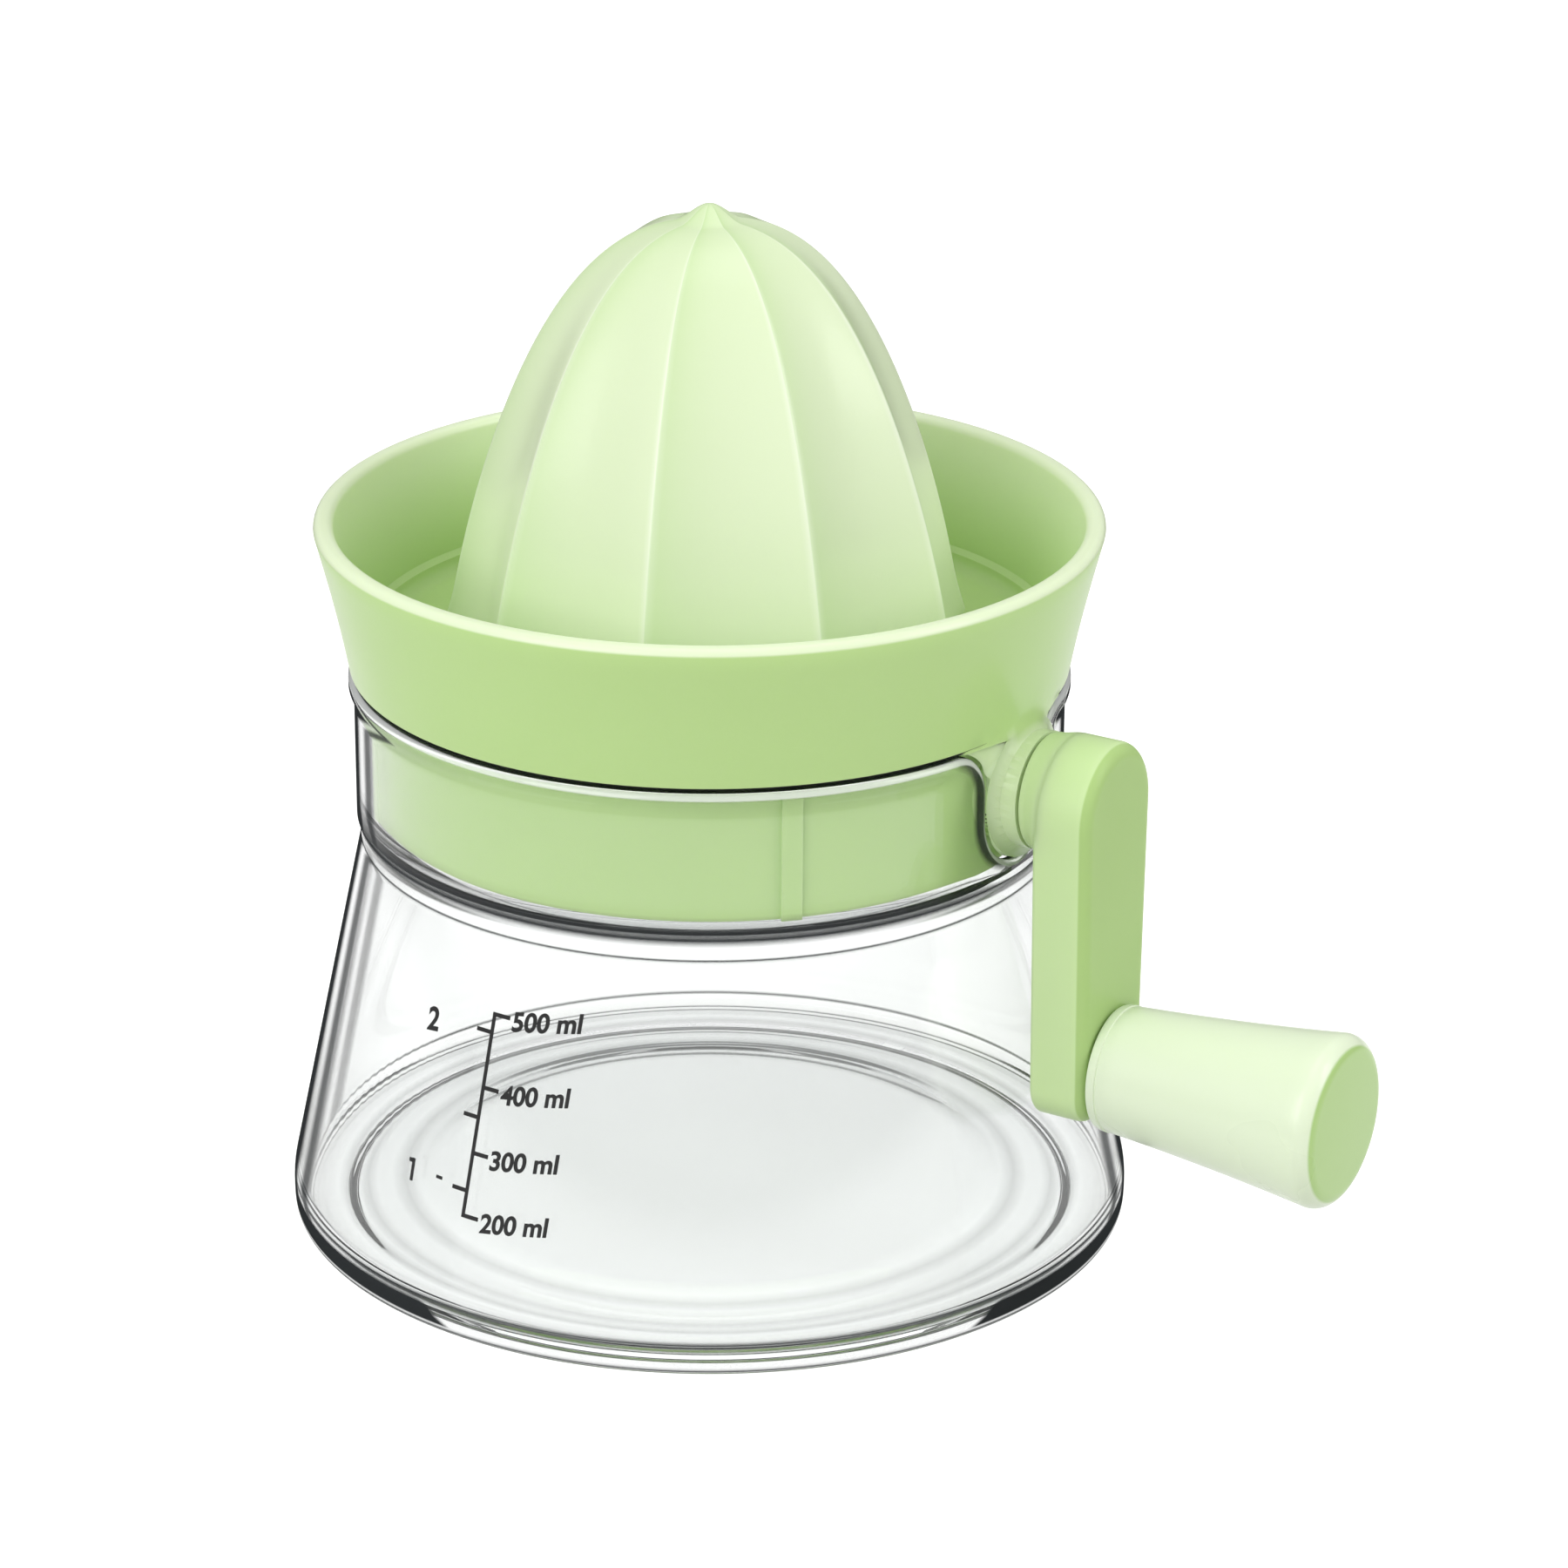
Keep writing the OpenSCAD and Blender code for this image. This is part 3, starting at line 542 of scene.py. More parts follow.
# Radius, height, amount and fade of the fainter rings painted as shade on the floor inside
FLOOR_RINGS = (
    (INNER_FOOT_R - 1.5, FLOOR_Z + 0.3, 0.2, 3.0),
    (FOOT_IN_R, FLOOR_Z, 0.3, 1.5),
    (FOOT_IN_R - FLOOR_RING_HALF, FLOOR_Z - FLOOR_RING_DEPTH, 0.25, 1.5),
    (PUNT_R + FLOOR_STEP_OUT, FLOOR_Z, 0.25, 2.0))


def jar_outside():
    """Outer profile from the middle of the underside to the shoulder."""
    return rounded([
        (0.0, FOOT_H + PUNT_H, 0.0),
        (PUNT_R - PUNT_SLOPE, FOOT_H + PUNT_H, 2.2),
        (PUNT_R, FOOT_H, 2.2),
        (FOOT_IN_R - FOOT_H, FOOT_H, 1.2),
        (FOOT_IN_R, 0.0, 0.5),
        (FOOT_OUT_R, 0.0, 1.6),
        (JAR_BASE_R - HEEL_IN, HEEL_LOW_Z, 1.2),
        (JAR_BASE_R, HEEL_TOP_Z, 0.8),
        (JAR_BASE_R, BAND_Z, 1.5),
        (NECK_R, NECK_Z, 0.8),
        (NECK_R, NECK_Z + NECK_LAND, 0.8),
        (COLLAR_R, SHOULDER_Z, 0.0)], OUTSIDE_STEPS)


def jar_inside():
    """Inner profile from the shoulder down to the middle of the stepped floor."""
    return rounded([
        (COLLAR_IN_R, SHOULDER_Z + INNER_SHOULDER, 0.0),
        (COLLAR_IN_R - INNER_LEDGE, SHOULDER_Z, 0.5),
        (NECK_R - WALL - NECK_THICKER, NECK_Z, 0.8),
        (INNER_FOOT_R + FLOOR_SPREAD, FLOOR_Z, 4.5),
        (FOOT_IN_R, FLOOR_Z, 1.6),
        (FOOT_IN_R - FLOOR_RING_HALF, FLOOR_Z - FLOOR_RING_DEPTH, 1.6),
        (FOOT_IN_R - 2 * FLOOR_RING_HALF, FLOOR_Z, 1.6),
        (PUNT_R + FLOOR_STEP_OUT, FLOOR_Z, 2.2),
        (PUNT_R - FLOOR_STEP_IN, FLOOR_Z + PUNT_H, 2.2),
        (0.0, FLOOR_Z + PUNT_H, 0.0)], INSIDE_STEPS)


def jar_edge():
    """Rim line of half the collar, unrolled: run from the slot, height, way into the wall, bead share."""
    low = SLOT_LOW_Z + SLOT_HALF
    edge = []
    for k in range(SLOT_ROUND_STEPS):
        a = -pi / 2 + pi / 2 * k / SLOT_ROUND_STEPS
        edge.append((SLOT_HALF * cos(a), low + SLOT_HALF * sin(a), cos(a), sin(a), 0.0))
    for k in range(SLOT_SIDE_STEPS):
        edge.append((SLOT_HALF, low + (JAR_H - SLOT_LIP - low) * k / SLOT_SIDE_STEPS, 1.0, 0.0, 0.0))
    for k in range(SLOT_LIP_STEPS + 1):
        a = pi - pi / 2 * k / SLOT_LIP_STEPS
        edge.append((SLOT_HALF + SLOT_LIP + SLOT_LIP * cos(a), JAR_H - SLOT_LIP + SLOT_LIP * sin(a),
                     -cos(a), -sin(a), max(0.0, 2 * k / SLOT_LIP_STEPS - 1)))
    first, last = SLOT_HALF + SLOT_LIP, pi * COLLAR_MID_R
    for k in range(1, RIM_STEPS + 1):
        edge.append((first + (last - first) * k / RIM_STEPS, JAR_H, 0.0, -1.0, 1.0))
    return edge


def jar_columns():
    """Columns round the jar: rim point, way in, bead share and the angle at the shoulder."""
    edge = jar_edge()
    blend = radians(SHOULDER_BLEND)
    near = sum(point[0] / COLLAR_MID_R < blend for point in edge)
    columns = []
    for i, (run, z, n_run, n_z, bead) in enumerate(edge):
        low = blend * i / near if i < near else run / COLLAR_MID_R
        columns.append((run / COLLAR_MID_R, z, n_run / COLLAR_MID_R, n_z, bead, low))
    mirrored = [(-c[0], c[1], -c[2], c[3], c[4], -c[5]) for c in columns[1:-1]]
    return columns + mirrored[::-1]


def jar_column(outside, inside, top, z, n_run, n_z, on_rim, low):
    """One column of points: up the outside, over the lip and down the inside."""
    swell = RIM_BEAD * on_rim

    def below(profile):
        return [(r * cos(low), r * sin(low), h) for r, h in profile]

    def at(r, d, t=1.0, foot_z=SHOULDER_Z):
        turn = low + (top + n_run * d - low) * t
        h = foot_z + (z + n_z * d - foot_z) * t
        return (r * cos(turn), r * sin(turn), h)

    column = below(outside)
    column += [at(COLLAR_R + (swell if t == 1.0 else 0.0), LIP_DEPTH, t) for t in COLLAR_LEVELS[1:]]
    column += [at(COLLAR_R + swell - LIP_R * (1 - c), LIP_R * (1 - s)) for s, c in quarter(LIP_STEPS)]
    column += [at(COLLAR_IN_R + LIP_R * (1 - s), LIP_R * (1 - c)) for s, c in quarter(LIP_STEPS)]
    column += [at(COLLAR_IN_R, LIP_DEPTH, t, SHOULDER_Z + INNER_SHOULDER) for t in COLLAR_LEVELS[::-1]]
    return column + below(inside[1:])


def line_share(path, marks):
    """A share for each point of a path, from marks of radius, height, amount and fade.

    The point nearest to a mark gets its whole amount.
    """
    share = [0.0] * len(path)
    for r, h, amount, fade in marks:
        away = [sqrt((p[0] - r) ** 2 + (p[1] - h) ** 2) for p in path]
        share = [max(old, amount * (1 - far / fade)) for old, far in zip(share, away)]
        share[away.index(min(away))] = amount
    return share


def jar_shares(outside, inside):
    """What a column carries from its first row on: painted shade lines and band, glint, sheen, and plain
    rows.
    """
    outer_rows, levels = len(outside), len(COLLAR_LEVELS)
    rim = [0.0] * (levels - 1 + LIP_STEPS) + [RIM_LINE] * (LIP_STEPS + 2) + [0.0] * levels
    lines = line_share(outside, [(r, h, 1.0, OUTER_FADE) for r, h in OUTER_LINES])
    rings = line_share(inside, FLOOR_RINGS)
    return {
        "bead": [0.0] * (outer_rows + levels) + [1.0] * (LIP_STEPS - 2),
        "line": lines + rim + rings[1:],
        "band": [float(r > BAND_FROM_R and BAND_LOW_Z < h < BAND_TOP_Z) for r, h in outside],
        "film": [SHEEN_SHARE if SHEEN_LOW_Z < h < NECK_Z else 0.0 for _, h in outside],
        "plain": [float(h < PLAIN_FOOT_Z or PLAIN_NECK_Z < h < PLAIN_SHOULDER_Z) for _, h in outside],
    }


def jar_shape():
    """The whole jar, column by column round its axis."""
    outside, inside = jar_outside(), jar_inside()
    columns = [jar_column(outside, inside, *column) for column in jar_columns()]
    rows = len(columns[0])
    shares = {}
    for name, values in jar_shares(outside, inside).items():
        shares[name] = (values + [0.0] * (rows - len(values))) * len(columns)
    verts = [point for column in columns for point in column]
    return verts, grid_faces(len(columns), rows), shares


add_piece("clear_jar", jar_shape(), CLEAR, "jar", "jar", sharp=60.0)


# Bowl, with the sleeve on its boss

BOWL_LIP = 0.9
# Shares of painted light on the bowl's lip, boss and inner wall towards the lip
LIP_PAINTED_LIGHT = 0.75
BOSS_PAINTED_LIGHT = 0.38
BOSS_FROM_X = 53.0
BOSS_TOP_Z = 86.7
INNER_PAINTED_LIGHT = 0.6
INNER_PAINTED_LIGHT_Z = 93.0
INNER_WALL_R = 45.0
# Faces under the bowl, above the jar's rim, that take painted shadow
GROOVE_TOP_Z = 87.6
GROOVE_IN_R = 52.6
GROOVE_OUT_R = 53.7
FACES_DOWN = -0.3
SLEEVE_IN_R = 52.6
SLEEVE_OUT_R = 54.22
SLEEVE_END = 10.5
SLEEVE_GAP = 0.5
SLEEVE_TOP_Z = 86.85
SLEEVE_BORE = 7.0
SLEEVE_BACK = 1.5
SLEEVE_NARROWS = 1.2
SLEEVE_WIDENS = 0.3
SLEEVE_STEPS = 10
SLEEVE_TOP_STEPS = 8
SLEEVE_TOP_PART = 0.3


def pale_share(point, lip_z):
    """How much painted light the bowl has at a point: on its lip, on its boss, and inside towards the lip.
    """
    x, y, z = point.co
    if z > lip_z:
        return LIP_PAINTED_LIGHT
    if x > BOSS_FROM_X * MM and abs(y) < SLEEVE_END * MM and z < BOSS_TOP_Z * MM:
        return BOSS_PAINTED_LIGHT
    if point.normal.xy.dot(point.co.xy) < 0 and point.co.xy.length > INNER_WALL_R * MM:
        return INNER_PAINTED_LIGHT * max(0.0, z / MM - INNER_PAINTED_LIGHT_Z) / (lip_z / MM - INNER_PAINTED_LIGHT_Z)
    return 0.0


def groove_share(face):
    """Painted shadow: 1 on the faces that look down into the groove above the jar's rim, 0 on the others."""
    under = face.normal.z < FACES_DOWN and face.center.z < GROOVE_TOP_Z * MM
    return float(under and GROOVE_IN_R * MM < face.center.xy.length < GROOVE_OUT_R * MM)


def juice_bowl():
    """The bowl's own shape shaded as one skin, with its painted light and painted shadow."""
    mesh = bpy.data.objects["bowl"].data.copy()
    mesh.name = "juice_bowl"
    work = bmesh.new()
    work.from_mesh(mesh)
    bmesh.ops.remove_doubles(work, verts=work.verts, dist=2 * MERGE)
    shade_smooth(work, sharp=30.0)
    work.to_mesh(mesh)
    work.free()
    lip_z = max(v.co.z for v in mesh.vertices) - BOWL_LIP * MM
    carry(mesh, "edge", [pale_share(v, lip_z) for v in mesh.vertices])
    carry(mesh, "shade", [groove_share(f) for f in mesh.polygons], "FACE")
    settle(mesh, GREEN, "head", "bowl")


juice_bowl()


def sleeve_outline():
    """Points round the slot, a little inside it, with the turn round the boss that each flows to."""
    side = [(run - SLEEVE_GAP * n_run, min(z - SLEEVE_GAP * n_z, SLEEVE_TOP_Z))
            for run, z, n_run, n_z, _ in jar_edge()[:SLOT_POINTS]]
    corner_run = side[-1][0]
    side += [(corner_run * (1 - k / SLEEVE_TOP_STEPS), SLEEVE_TOP_Z) for k in range(1, SLEEVE_TOP_STEPS + 1)]
    along = [0.0]
    for k, (a, b) in enumerate(zip(side, side[1:])):
        part = 1.0 if k < SLOT_POINTS - 1 else SLEEVE_TOP_PART
        along.append(along[-1] + sqrt((a[0] - b[0]) ** 2 + (a[1] - b[1]) ** 2) * part)
    half = [(run / COLLAR_MID_R, z, pi * far / along[-1]) for (run, z), far in zip(side, along)]
    return half + [(-turn, z, 2 * pi - flow) for turn, z, flow in half[-2:0:-1]]


def boss_sleeve():
    """Trumpet on the bowl that fills the slot round the crank neck and flows into the boss."""
    columns = []
    for turn, z, flow in sleeve_outline():
        start = Vector((SLEEVE_IN_R * cos(turn), SLEEVE_IN_R * sin(turn), z))
        side = SLEEVE_END * sin(flow)
        end = Vector((sqrt(SLEEVE_OUT_R ** 2 - side ** 2), side,
                      min(CRANK_Z - SLEEVE_END * cos(flow), SLEEVE_TOP_Z)))
        narrows = (start.yz - Vector((0.0, CRANK_Z))).length > SLEEVE_END
        lead = end if narrows else start
        bend_r = SLEEVE_OUT_R - (SLEEVE_NARROWS if narrows else SLEEVE_WIDENS)
        bend = Vector((sqrt(bend_r ** 2 - lead.y ** 2), lead.y, lead.z))
        bore = Vector((0.0, SLEEVE_BORE * sin(flow), CRANK_Z - SLEEVE_BORE * cos(flow)))
        back = bore + Vector((SLEEVE_IN_R - SLEEVE_BACK, 0.0, 0.0))
        front = bore + Vector((SLEEVE_OUT_R, 0.0, 0.0))
        columns.append([back, *bow(start, bend, end, SLEEVE_STEPS), front, back])
    verts = [tuple(point) for column in columns for point in column]
    # The whole sleeve carries the boss's painted light
    return verts, grid_faces(len(columns), len(columns[0])), {"edge": [BOSS_PAINTED_LIGHT] * len(verts)}


add_piece("boss_sleeve", boss_sleeve(), GREEN, "head", None, sharp=40.0)


# Reamer: surfaces by rule, the fluted outside, the plain inside, the foot and the ceiling

REAMER_R = 39.0
REAMER_H = 66.0
REAMER_WALL = 2.6
CAVITY_SHARE = 0.93
FOOT_FLARE = 0.9
FLARE_SHARE = 0.12
NUB_H = 2.2
NUB_R = 5.2
DOME_RISE = 1.25
DOME_BELLY = 0.41
RIDGES = 9
RIDGE_TURN = 7.3
RIDGE_SOFT = 0.035
RIDGE_CROWD = 0.85
RIDGE_COLUMNS = 24
FLUTE_DEPTH = 0.12
FLUTE_FADE = 0.5
OUTSIDE_ROWS = 90
OUTSIDE_CROWD = 2.4
INSIDE_ROWS = 40
INSIDE_CROWD = 1.6
FOOT_ROWS = 3
LID_ROWS = 6
# Painted highlight along the ridges, and painted shade towards the top, in the flute hollows and just past
# each ridge
CREST_PAINTED_LIGHT = 0.6
CREST_FALL = 7.0
TOP_SHADE = 0.25
FLUTE_SHADE = 0.05
SIDE_SHADE = 0.3
SIDE_FALL = 4.0


def reamer_tree():
    """Tree that bends flat grids into the reamer's surfaces: across a grid is round it, up is up."""
    tree = bpy.data.node_groups.new("reamer_form", "GeometryNodeTree")
    named_inputs(tree, (
        ("Foot radius", "NodeSocketFloat", REAMER_R * MM),
        ("Foot flare", "NodeSocketFloat", FOOT_FLARE * MM),
        ("Flare share", "NodeSocketFloat", FLARE_SHARE),
        ("Body height", "NodeSocketFloat", (REAMER_H - NUB_H) * MM),
        ("Tip rise", "NodeSocketFloat", NUB_H * MM),
        ("Tip radius", "NodeSocketFloat", NUB_R * MM),
        ("Ridges", "NodeSocketFloat", float(RIDGES)),
        ("Flute depth", "NodeSocketFloat", FLUTE_DEPTH),
        ("Ridge softness", "NodeSocketFloat", RIDGE_SOFT),
        ("Wall", "NodeSocketFloat", REAMER_WALL * MM),
        ("Cavity share", "NodeSocketFloat", CAVITY_SHARE),
        ("Foot height", "NodeSocketFloat", 0.0),
        ("Ridge turn", "NodeSocketFloat", radians(RIDGE_TURN)),
        ("Finish", "NodeSocketMaterial", None)))
    sheet = Sheet(tree)
    given = sheet.add("NodeGroupInput")

    def size(name):
        return sheet.val(given, name)

    position = sheet.val(sheet.add("GeometryNodeInputPosition"))
    place = sheet.add("ShaderNodeSeparateXYZ", None, {0: position})
    # The grids are 1 by 1 about their middles, so half of that makes each way run from 0
    flute = (sheet.val(place, "X") + 0.5) * size("Ridges")
    up = sheet.val(place, "Y") + 0.5
    across = flute.math("FRACT")
    crowded = across - (across * (2 * pi)).math("SINE") * (RIDGE_CROWD / (2 * pi))
    turn = (flute.math("FLOOR") + crowded) * (2 * pi) / size("Ridges") + size("Ridge turn")
    soft = size("Ridge softness")
    dip = (crowded * pi).math("SINE")
    scoop = (dip * dip + soft * soft).math("SQRT") - soft

    def ridge_radius(share):
        dome = size("Foot radius") * (1 - share ** DOME_RISE).math("MAXIMUM", 0.0) ** DOME_BELLY
        flare = (1 - share / size("Flare share")).math("MAXIMUM", 0.0)
        return dome + size("Foot flare") * flare ** 2.0

    def inner_radius(share):
        return ridge_radius(share) * (1 - size("Flute depth")) - size("Wall")

    def bitten(radius, share):
        bite = size("Flute depth") * (1 - share * share * FLUTE_FADE) * scoop
        return radius * (1 - bite * (radius / size("Tip radius")).math("MINIMUM", 1.0))

    def carrying(mesh, name, share):
        return sheet.val(sheet.add(
            "GeometryNodeStoreNamedAttribute", {"data_type": "FLOAT", "domain": "POINT"},
            {"Geometry": mesh, "Name": name, "Value": share}))

    # Painted highlight on each ridge; painted shade towards the top, in the hollows and just past each ridge
    crest = (1 - dip * CREST_FALL).math("MAXIMUM", 0.0) * CREST_PAINTED_LIGHT
    tone = up * up * TOP_SHADE + dip * FLUTE_SHADE + (1 - crowded) ** SIDE_FALL * SIDE_SHADE

    def surface(rows, radius, height):
        grid = sheet.add("GeometryNodeMeshGrid", None, {
            "Size X": 1.0, "Size Y": 1.0,
            "Vertices X": RIDGES * RIDGE_COLUMNS + 1, "Vertices Y": rows + 1})
        spot = sheet.add("ShaderNodeCombineXYZ", None, {
            "X": radius * turn.math("COSINE"), "Y": radius * turn.math("SINE"),
            "Z": height + size("Foot height")})
        toned = carrying(carrying(sheet.val(grid, "Mesh"), "edge", crest), "shade", tone)
        return sheet.val(sheet.add("GeometryNodeSetPosition", None, {
            "Geometry": toned, "Position": sheet.val(spot)}))

    share = 1 - (1 - up) ** OUTSIDE_CROWD
    radius = ridge_radius(share)
    bell = ((radius / size("Tip radius")).math("MINIMUM", 1.0) * pi).math("COSINE") * 0.5 + 0.5
    tip_height = share * size("Body height") + size("Tip rise") * bell
    outside = surface(OUTSIDE_ROWS, bitten(radius, share), tip_height)
    deep = (1 - (1 - up) ** INSIDE_CROWD) * size("Cavity share")
    inside = surface(INSIDE_ROWS, inner_radius(deep), deep * size("Body height"))
    level = up * 0.0
    foot_in = inner_radius(level)
    foot = surface(FOOT_ROWS, foot_in + (bitten(ridge_radius(level), level) - foot_in) * up, level)
    lid_r = inner_radius(size("Cavity share"))
    lid = surface(LID_ROWS, lid_r * up, size("Cavity share") * size("Body height"))
    joined = sheet.add("GeometryNodeJoinGeometry")
    for part in (outside, inside, foot, lid):
        tree.links.new(part.out, joined.inputs[0])
    merged = sheet.add("GeometryNodeMergeByDistance", None,
                       {"Geometry": sheet.val(joined), "Distance": MERGE})
    real = sheet.add("GeometryNodeRealizeInstances", None, {"Geometry": sheet.val(merged)})
    painted = sheet.add("GeometryNodeSetMaterial", None,
                        {"Geometry": sheet.val(real), "Material": size("Finish")})
    sheet.add("NodeGroupOutput", None, {"Mesh": sheet.val(painted)})
    return tree


reamer_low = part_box("reamer")[0][2]
reamer_mesh = bake_tree("fluted_reamer", reamer_tree(), {"Foot height": reamer_low, "Finish": PALE_GREEN},
                        bpy.data.meshes.new("reamer_seed"))
clean_mesh(reamer_mesh, sharp=60.0)
settle(reamer_mesh, PALE_GREEN, "reamer", "reamer")


# Crank arm

ARM_T = 9.2
ARM_R = 10.4
ARM_SINK = 1.2
ARM_TAPER = 0.9
ARM_CORNER = 5.4
ARM_EDGE_OUT = 2.2
ARM_EDGE_IN = 1.2
ARM_FACE_IN = 0.5
ARM_TOP_STEPS = 48
ARM_CORNER_STEPS = 16
ARM_EDGE_STEPS = 12
# Painted light on the arm's sides and painted shade on its outer face
ARM_SIDE_PAINTED_LIGHT = 0.3
ARM_FACE_SHADE = 0.12
HUB_R = 8.7
HUB_EDGE = 0.4
HUB_BREAK = 0.1
HUB_TUCK_R = 1.0
HUB_TUCK_X = 0.6
HUB_STEPS = 8
HUB_ROUND = 96


def arm_outline(inset):
    """Points round the arm's face, the same number for each inset."""
    top_z = CRANK_Z - ARM_SINK
    low_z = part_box("crank_arm")[0][2] / MM + ARM_CORNER
    corner = ARM_CORNER - inset
    half = ARM_R - ARM_TAPER - ARM_CORNER
    lean = asin(ARM_TAPER / (top_z - low_z))
    return (arc(0.0, top_z, ARM_R - inset, -lean, pi + 2 * lean, ARM_TOP_STEPS)
            + arc(-half, low_z, corner, pi + lean, pi / 2 - lean, ARM_CORNER_STEPS)
            + arc(half, low_z, corner, 1.5 * pi, pi / 2 - lean, ARM_CORNER_STEPS))


def hub_shape(start, full, end):
    """Hub that widens from the boss's size to the arm's round top without a step."""
    path = [(0.0, start, 0.0), (HUB_R - HUB_EDGE, start, 0.0),
            (HUB_R - HUB_BREAK, start + HUB_BREAK, 0.0)]
    for k in range(HUB_STEPS + 1):
        t = k / HUB_STEPS
        grow = t * t * (3 - 2 * t)
        path.append((HUB_R + (ARM_R - HUB_R) * grow,
                     start + HUB_EDGE + (full - start - HUB_EDGE) * t, ARM_SINK * grow))
    path += [(ARM_R - HUB_TUCK_R, full + HUB_TUCK_X, ARM_SINK), (0.0, end, ARM_SINK)]
    return turned(path, HUB_ROUND, CRANK_Z)


def arm_shape():
    """The arm with soft edges, and its hub; its sides carry painted light and its outer face painted shade.
    """
    low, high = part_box("crank_arm")
    hub_x, out_x = low[0] / MM, high[0] / MM
    in_x = out_x - ARM_T
    edge = quarter(ARM_EDGE_STEPS)
    rings = [(in_x, ARM_EDGE_OUT + ARM_FACE_IN)]
    rings += [(in_x + ARM_EDGE_IN * (1 - s), ARM_EDGE_OUT * (1 - c)) for s, c in edge[::-1]]
    rings += [(out_x - ARM_EDGE_OUT * (1 - s), ARM_EDGE_OUT * (1 - c)) for s, c in edge]
    rings.append((out_x, ARM_EDGE_OUT + ARM_FACE_IN))
    outlines = [(x, arm_outline(inset)) for x, inset in rings]
    around, rows = len(outlines[0][1]), len(rings)
    verts = [(x, *points[i]) for i in range(around) for x, points in outlines]
    faces = grid_faces(around, rows)
    faces.append(tuple(i * rows for i in range(around)))
    faces.append(tuple(i * rows + rows - 1 for i in range(around)))
    hub, hub_faces = hub_shape(hub_x, in_x + ARM_EDGE_IN, in_x + ARM_T / 2)
    faces += [tuple(v + len(verts) for v in f) for f in hub_faces]
    verts += hub
    face_x = max(v[0] for v in verts) - ARM_EDGE_OUT / 2
    return verts, faces, {
        "edge": [ARM_SIDE_PAINTED_LIGHT if v[0] < face_x else 0.0 for v in verts],
        "shade": [0.0 if v[0] < face_x else ARM_FACE_SHADE for v in verts],
    }


add_piece("crank_arm_body", arm_shape(), ARM_GREEN, "crank", "crank_arm", sharp=35.0)


# Grip

GRIP_BORE = 3.55
GRIP_CAP = 4.0
GRIP_ROOT_R = 9.5
GRIP_ROOT_EDGE = 0.6
GRIP_BREAK_R = 0.2
GRIP_BREAK_X = 0.15
GRIP_END_R = 12.9
GRIP_EDGE = 2.8
GRIP_BOW = 0.26
GRIP_SEAM_X = 1.5
GRIP_SEAM_W = 0.35
GRIP_SEAM_LIP = 0.08
GRIP_SEAM_DEPTH = 0.12
GRIP_SIDE_STEPS = 16
GRIP_EDGE_STEPS = 10
GRIP_ROUND = 128
# How far in from the end the painted shade reaches
GRIP_SHADE_X = 0.4


def grip_shape():
    """Hollow grip widening to its rounded end, with a fine seam near its root and painted shade on its end.
    """
    low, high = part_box("grip")
    start, end = low[0] / MM, high[0] / MM
    seam = start + GRIP_SEAM_X
    side_x, side_end = seam + GRIP_SEAM_W, end - GRIP_EDGE
    path = [(GRIP_BORE, start),
            (GRIP_ROOT_R - GRIP_ROOT_EDGE, start),
            (GRIP_ROOT_R - GRIP_BREAK_R, start + GRIP_BREAK_X),
            (GRIP_ROOT_R, start + GRIP_ROOT_EDGE),
            (GRIP_ROOT_R + GRIP_SEAM_LIP, seam),
            (GRIP_ROOT_R - GRIP_SEAM_DEPTH, seam + GRIP_SEAM_DEPTH)]
    for k in range(GRIP_SIDE_STEPS + 1):
        t = k / GRIP_SIDE_STEPS
        r = GRIP_ROOT_R + (GRIP_END_R - GRIP_ROOT_R) * t - GRIP_BOW * 4 * t * (1 - t)
        path.append((r, side_x + (side_end - side_x) * t))
    path += [(GRIP_END_R - GRIP_EDGE * (1 - c), end - GRIP_EDGE * (1 - s))
             for s, c in quarter(GRIP_EDGE_STEPS)[1:]]
    path += [(0.0, end), (0.0, end - GRIP_CAP), (GRIP_BORE, end - GRIP_CAP), (GRIP_BORE, start)]
    verts, faces = turned([(r, x, 0.0) for r, x in path], GRIP_ROUND, GRIP_Z)
    shade_x = max(v[0] for v in verts) - GRIP_SHADE_X
    return verts, faces, {"edge": [float(v[0] > shade_x) for v in verts]}


add_piece("spinning_grip", grip_shape(), GRIP_GREEN, "grip", "grip", sharp=40.0)


# Printed volume scale on the front of the jar

# Amount and height of each mark
ML_MARKS = ((500, 49.2), (400, 38.3), (300, 28.5), (200, 19.1))
CUP_MARKS = ((2, 46.5), (1.5, 33.8), (1, 22.8))
LINE_W = 0.6
TICK = 2.7
# Bars that draw the dash and the figure 1 of the cup scale: run, rise above the mark, reach and height
CUP_ONE = ((-5.4, 0.5, 1.2, 0.48), (-10.9, 0.0, LINE_W, 3.4), (-11.4, 1.3, 0.9, LINE_W))
INK_LIFT = 0.04
INK_H = 0.06
SCALE_TURN = -94.1
SCALE_LEAN = 0.05
WORD_RISE = 0.15
WORD_GAP = 0.5
WORD_DROP = 0.4
WORD_W = 10.9
WORD_H = 3.0
WORD_THICKER = 4
TWO_RUN = -12.4
TWO_DROP = 1.2
TWO_H = 3.6


def on_cone(run, z, lift):
    """A point printed on the jar's cone: run to the right of the scale line, at a height."""
    r = cone_r(z) + lift
    turn = radians(SCALE_TURN) + (run + SCALE_LEAN * (z - ML_MARKS[-1][1])) / r
    return Vector((r * cos(turn), r * sin(turn), z))


def print_on_jar(mesh):
    """Wrap a flat print round the jar's cone and make it a piece on the jar."""
    for vertex in mesh.vertices:
        run, z, lift = (c / MM for c in vertex.co)
        vertex.co = on_cone(run, z, INK_LIFT + lift) * MM
    clean_mesh(mesh, sharp=30.0)
    settle(mesh, INK, "jar", None)


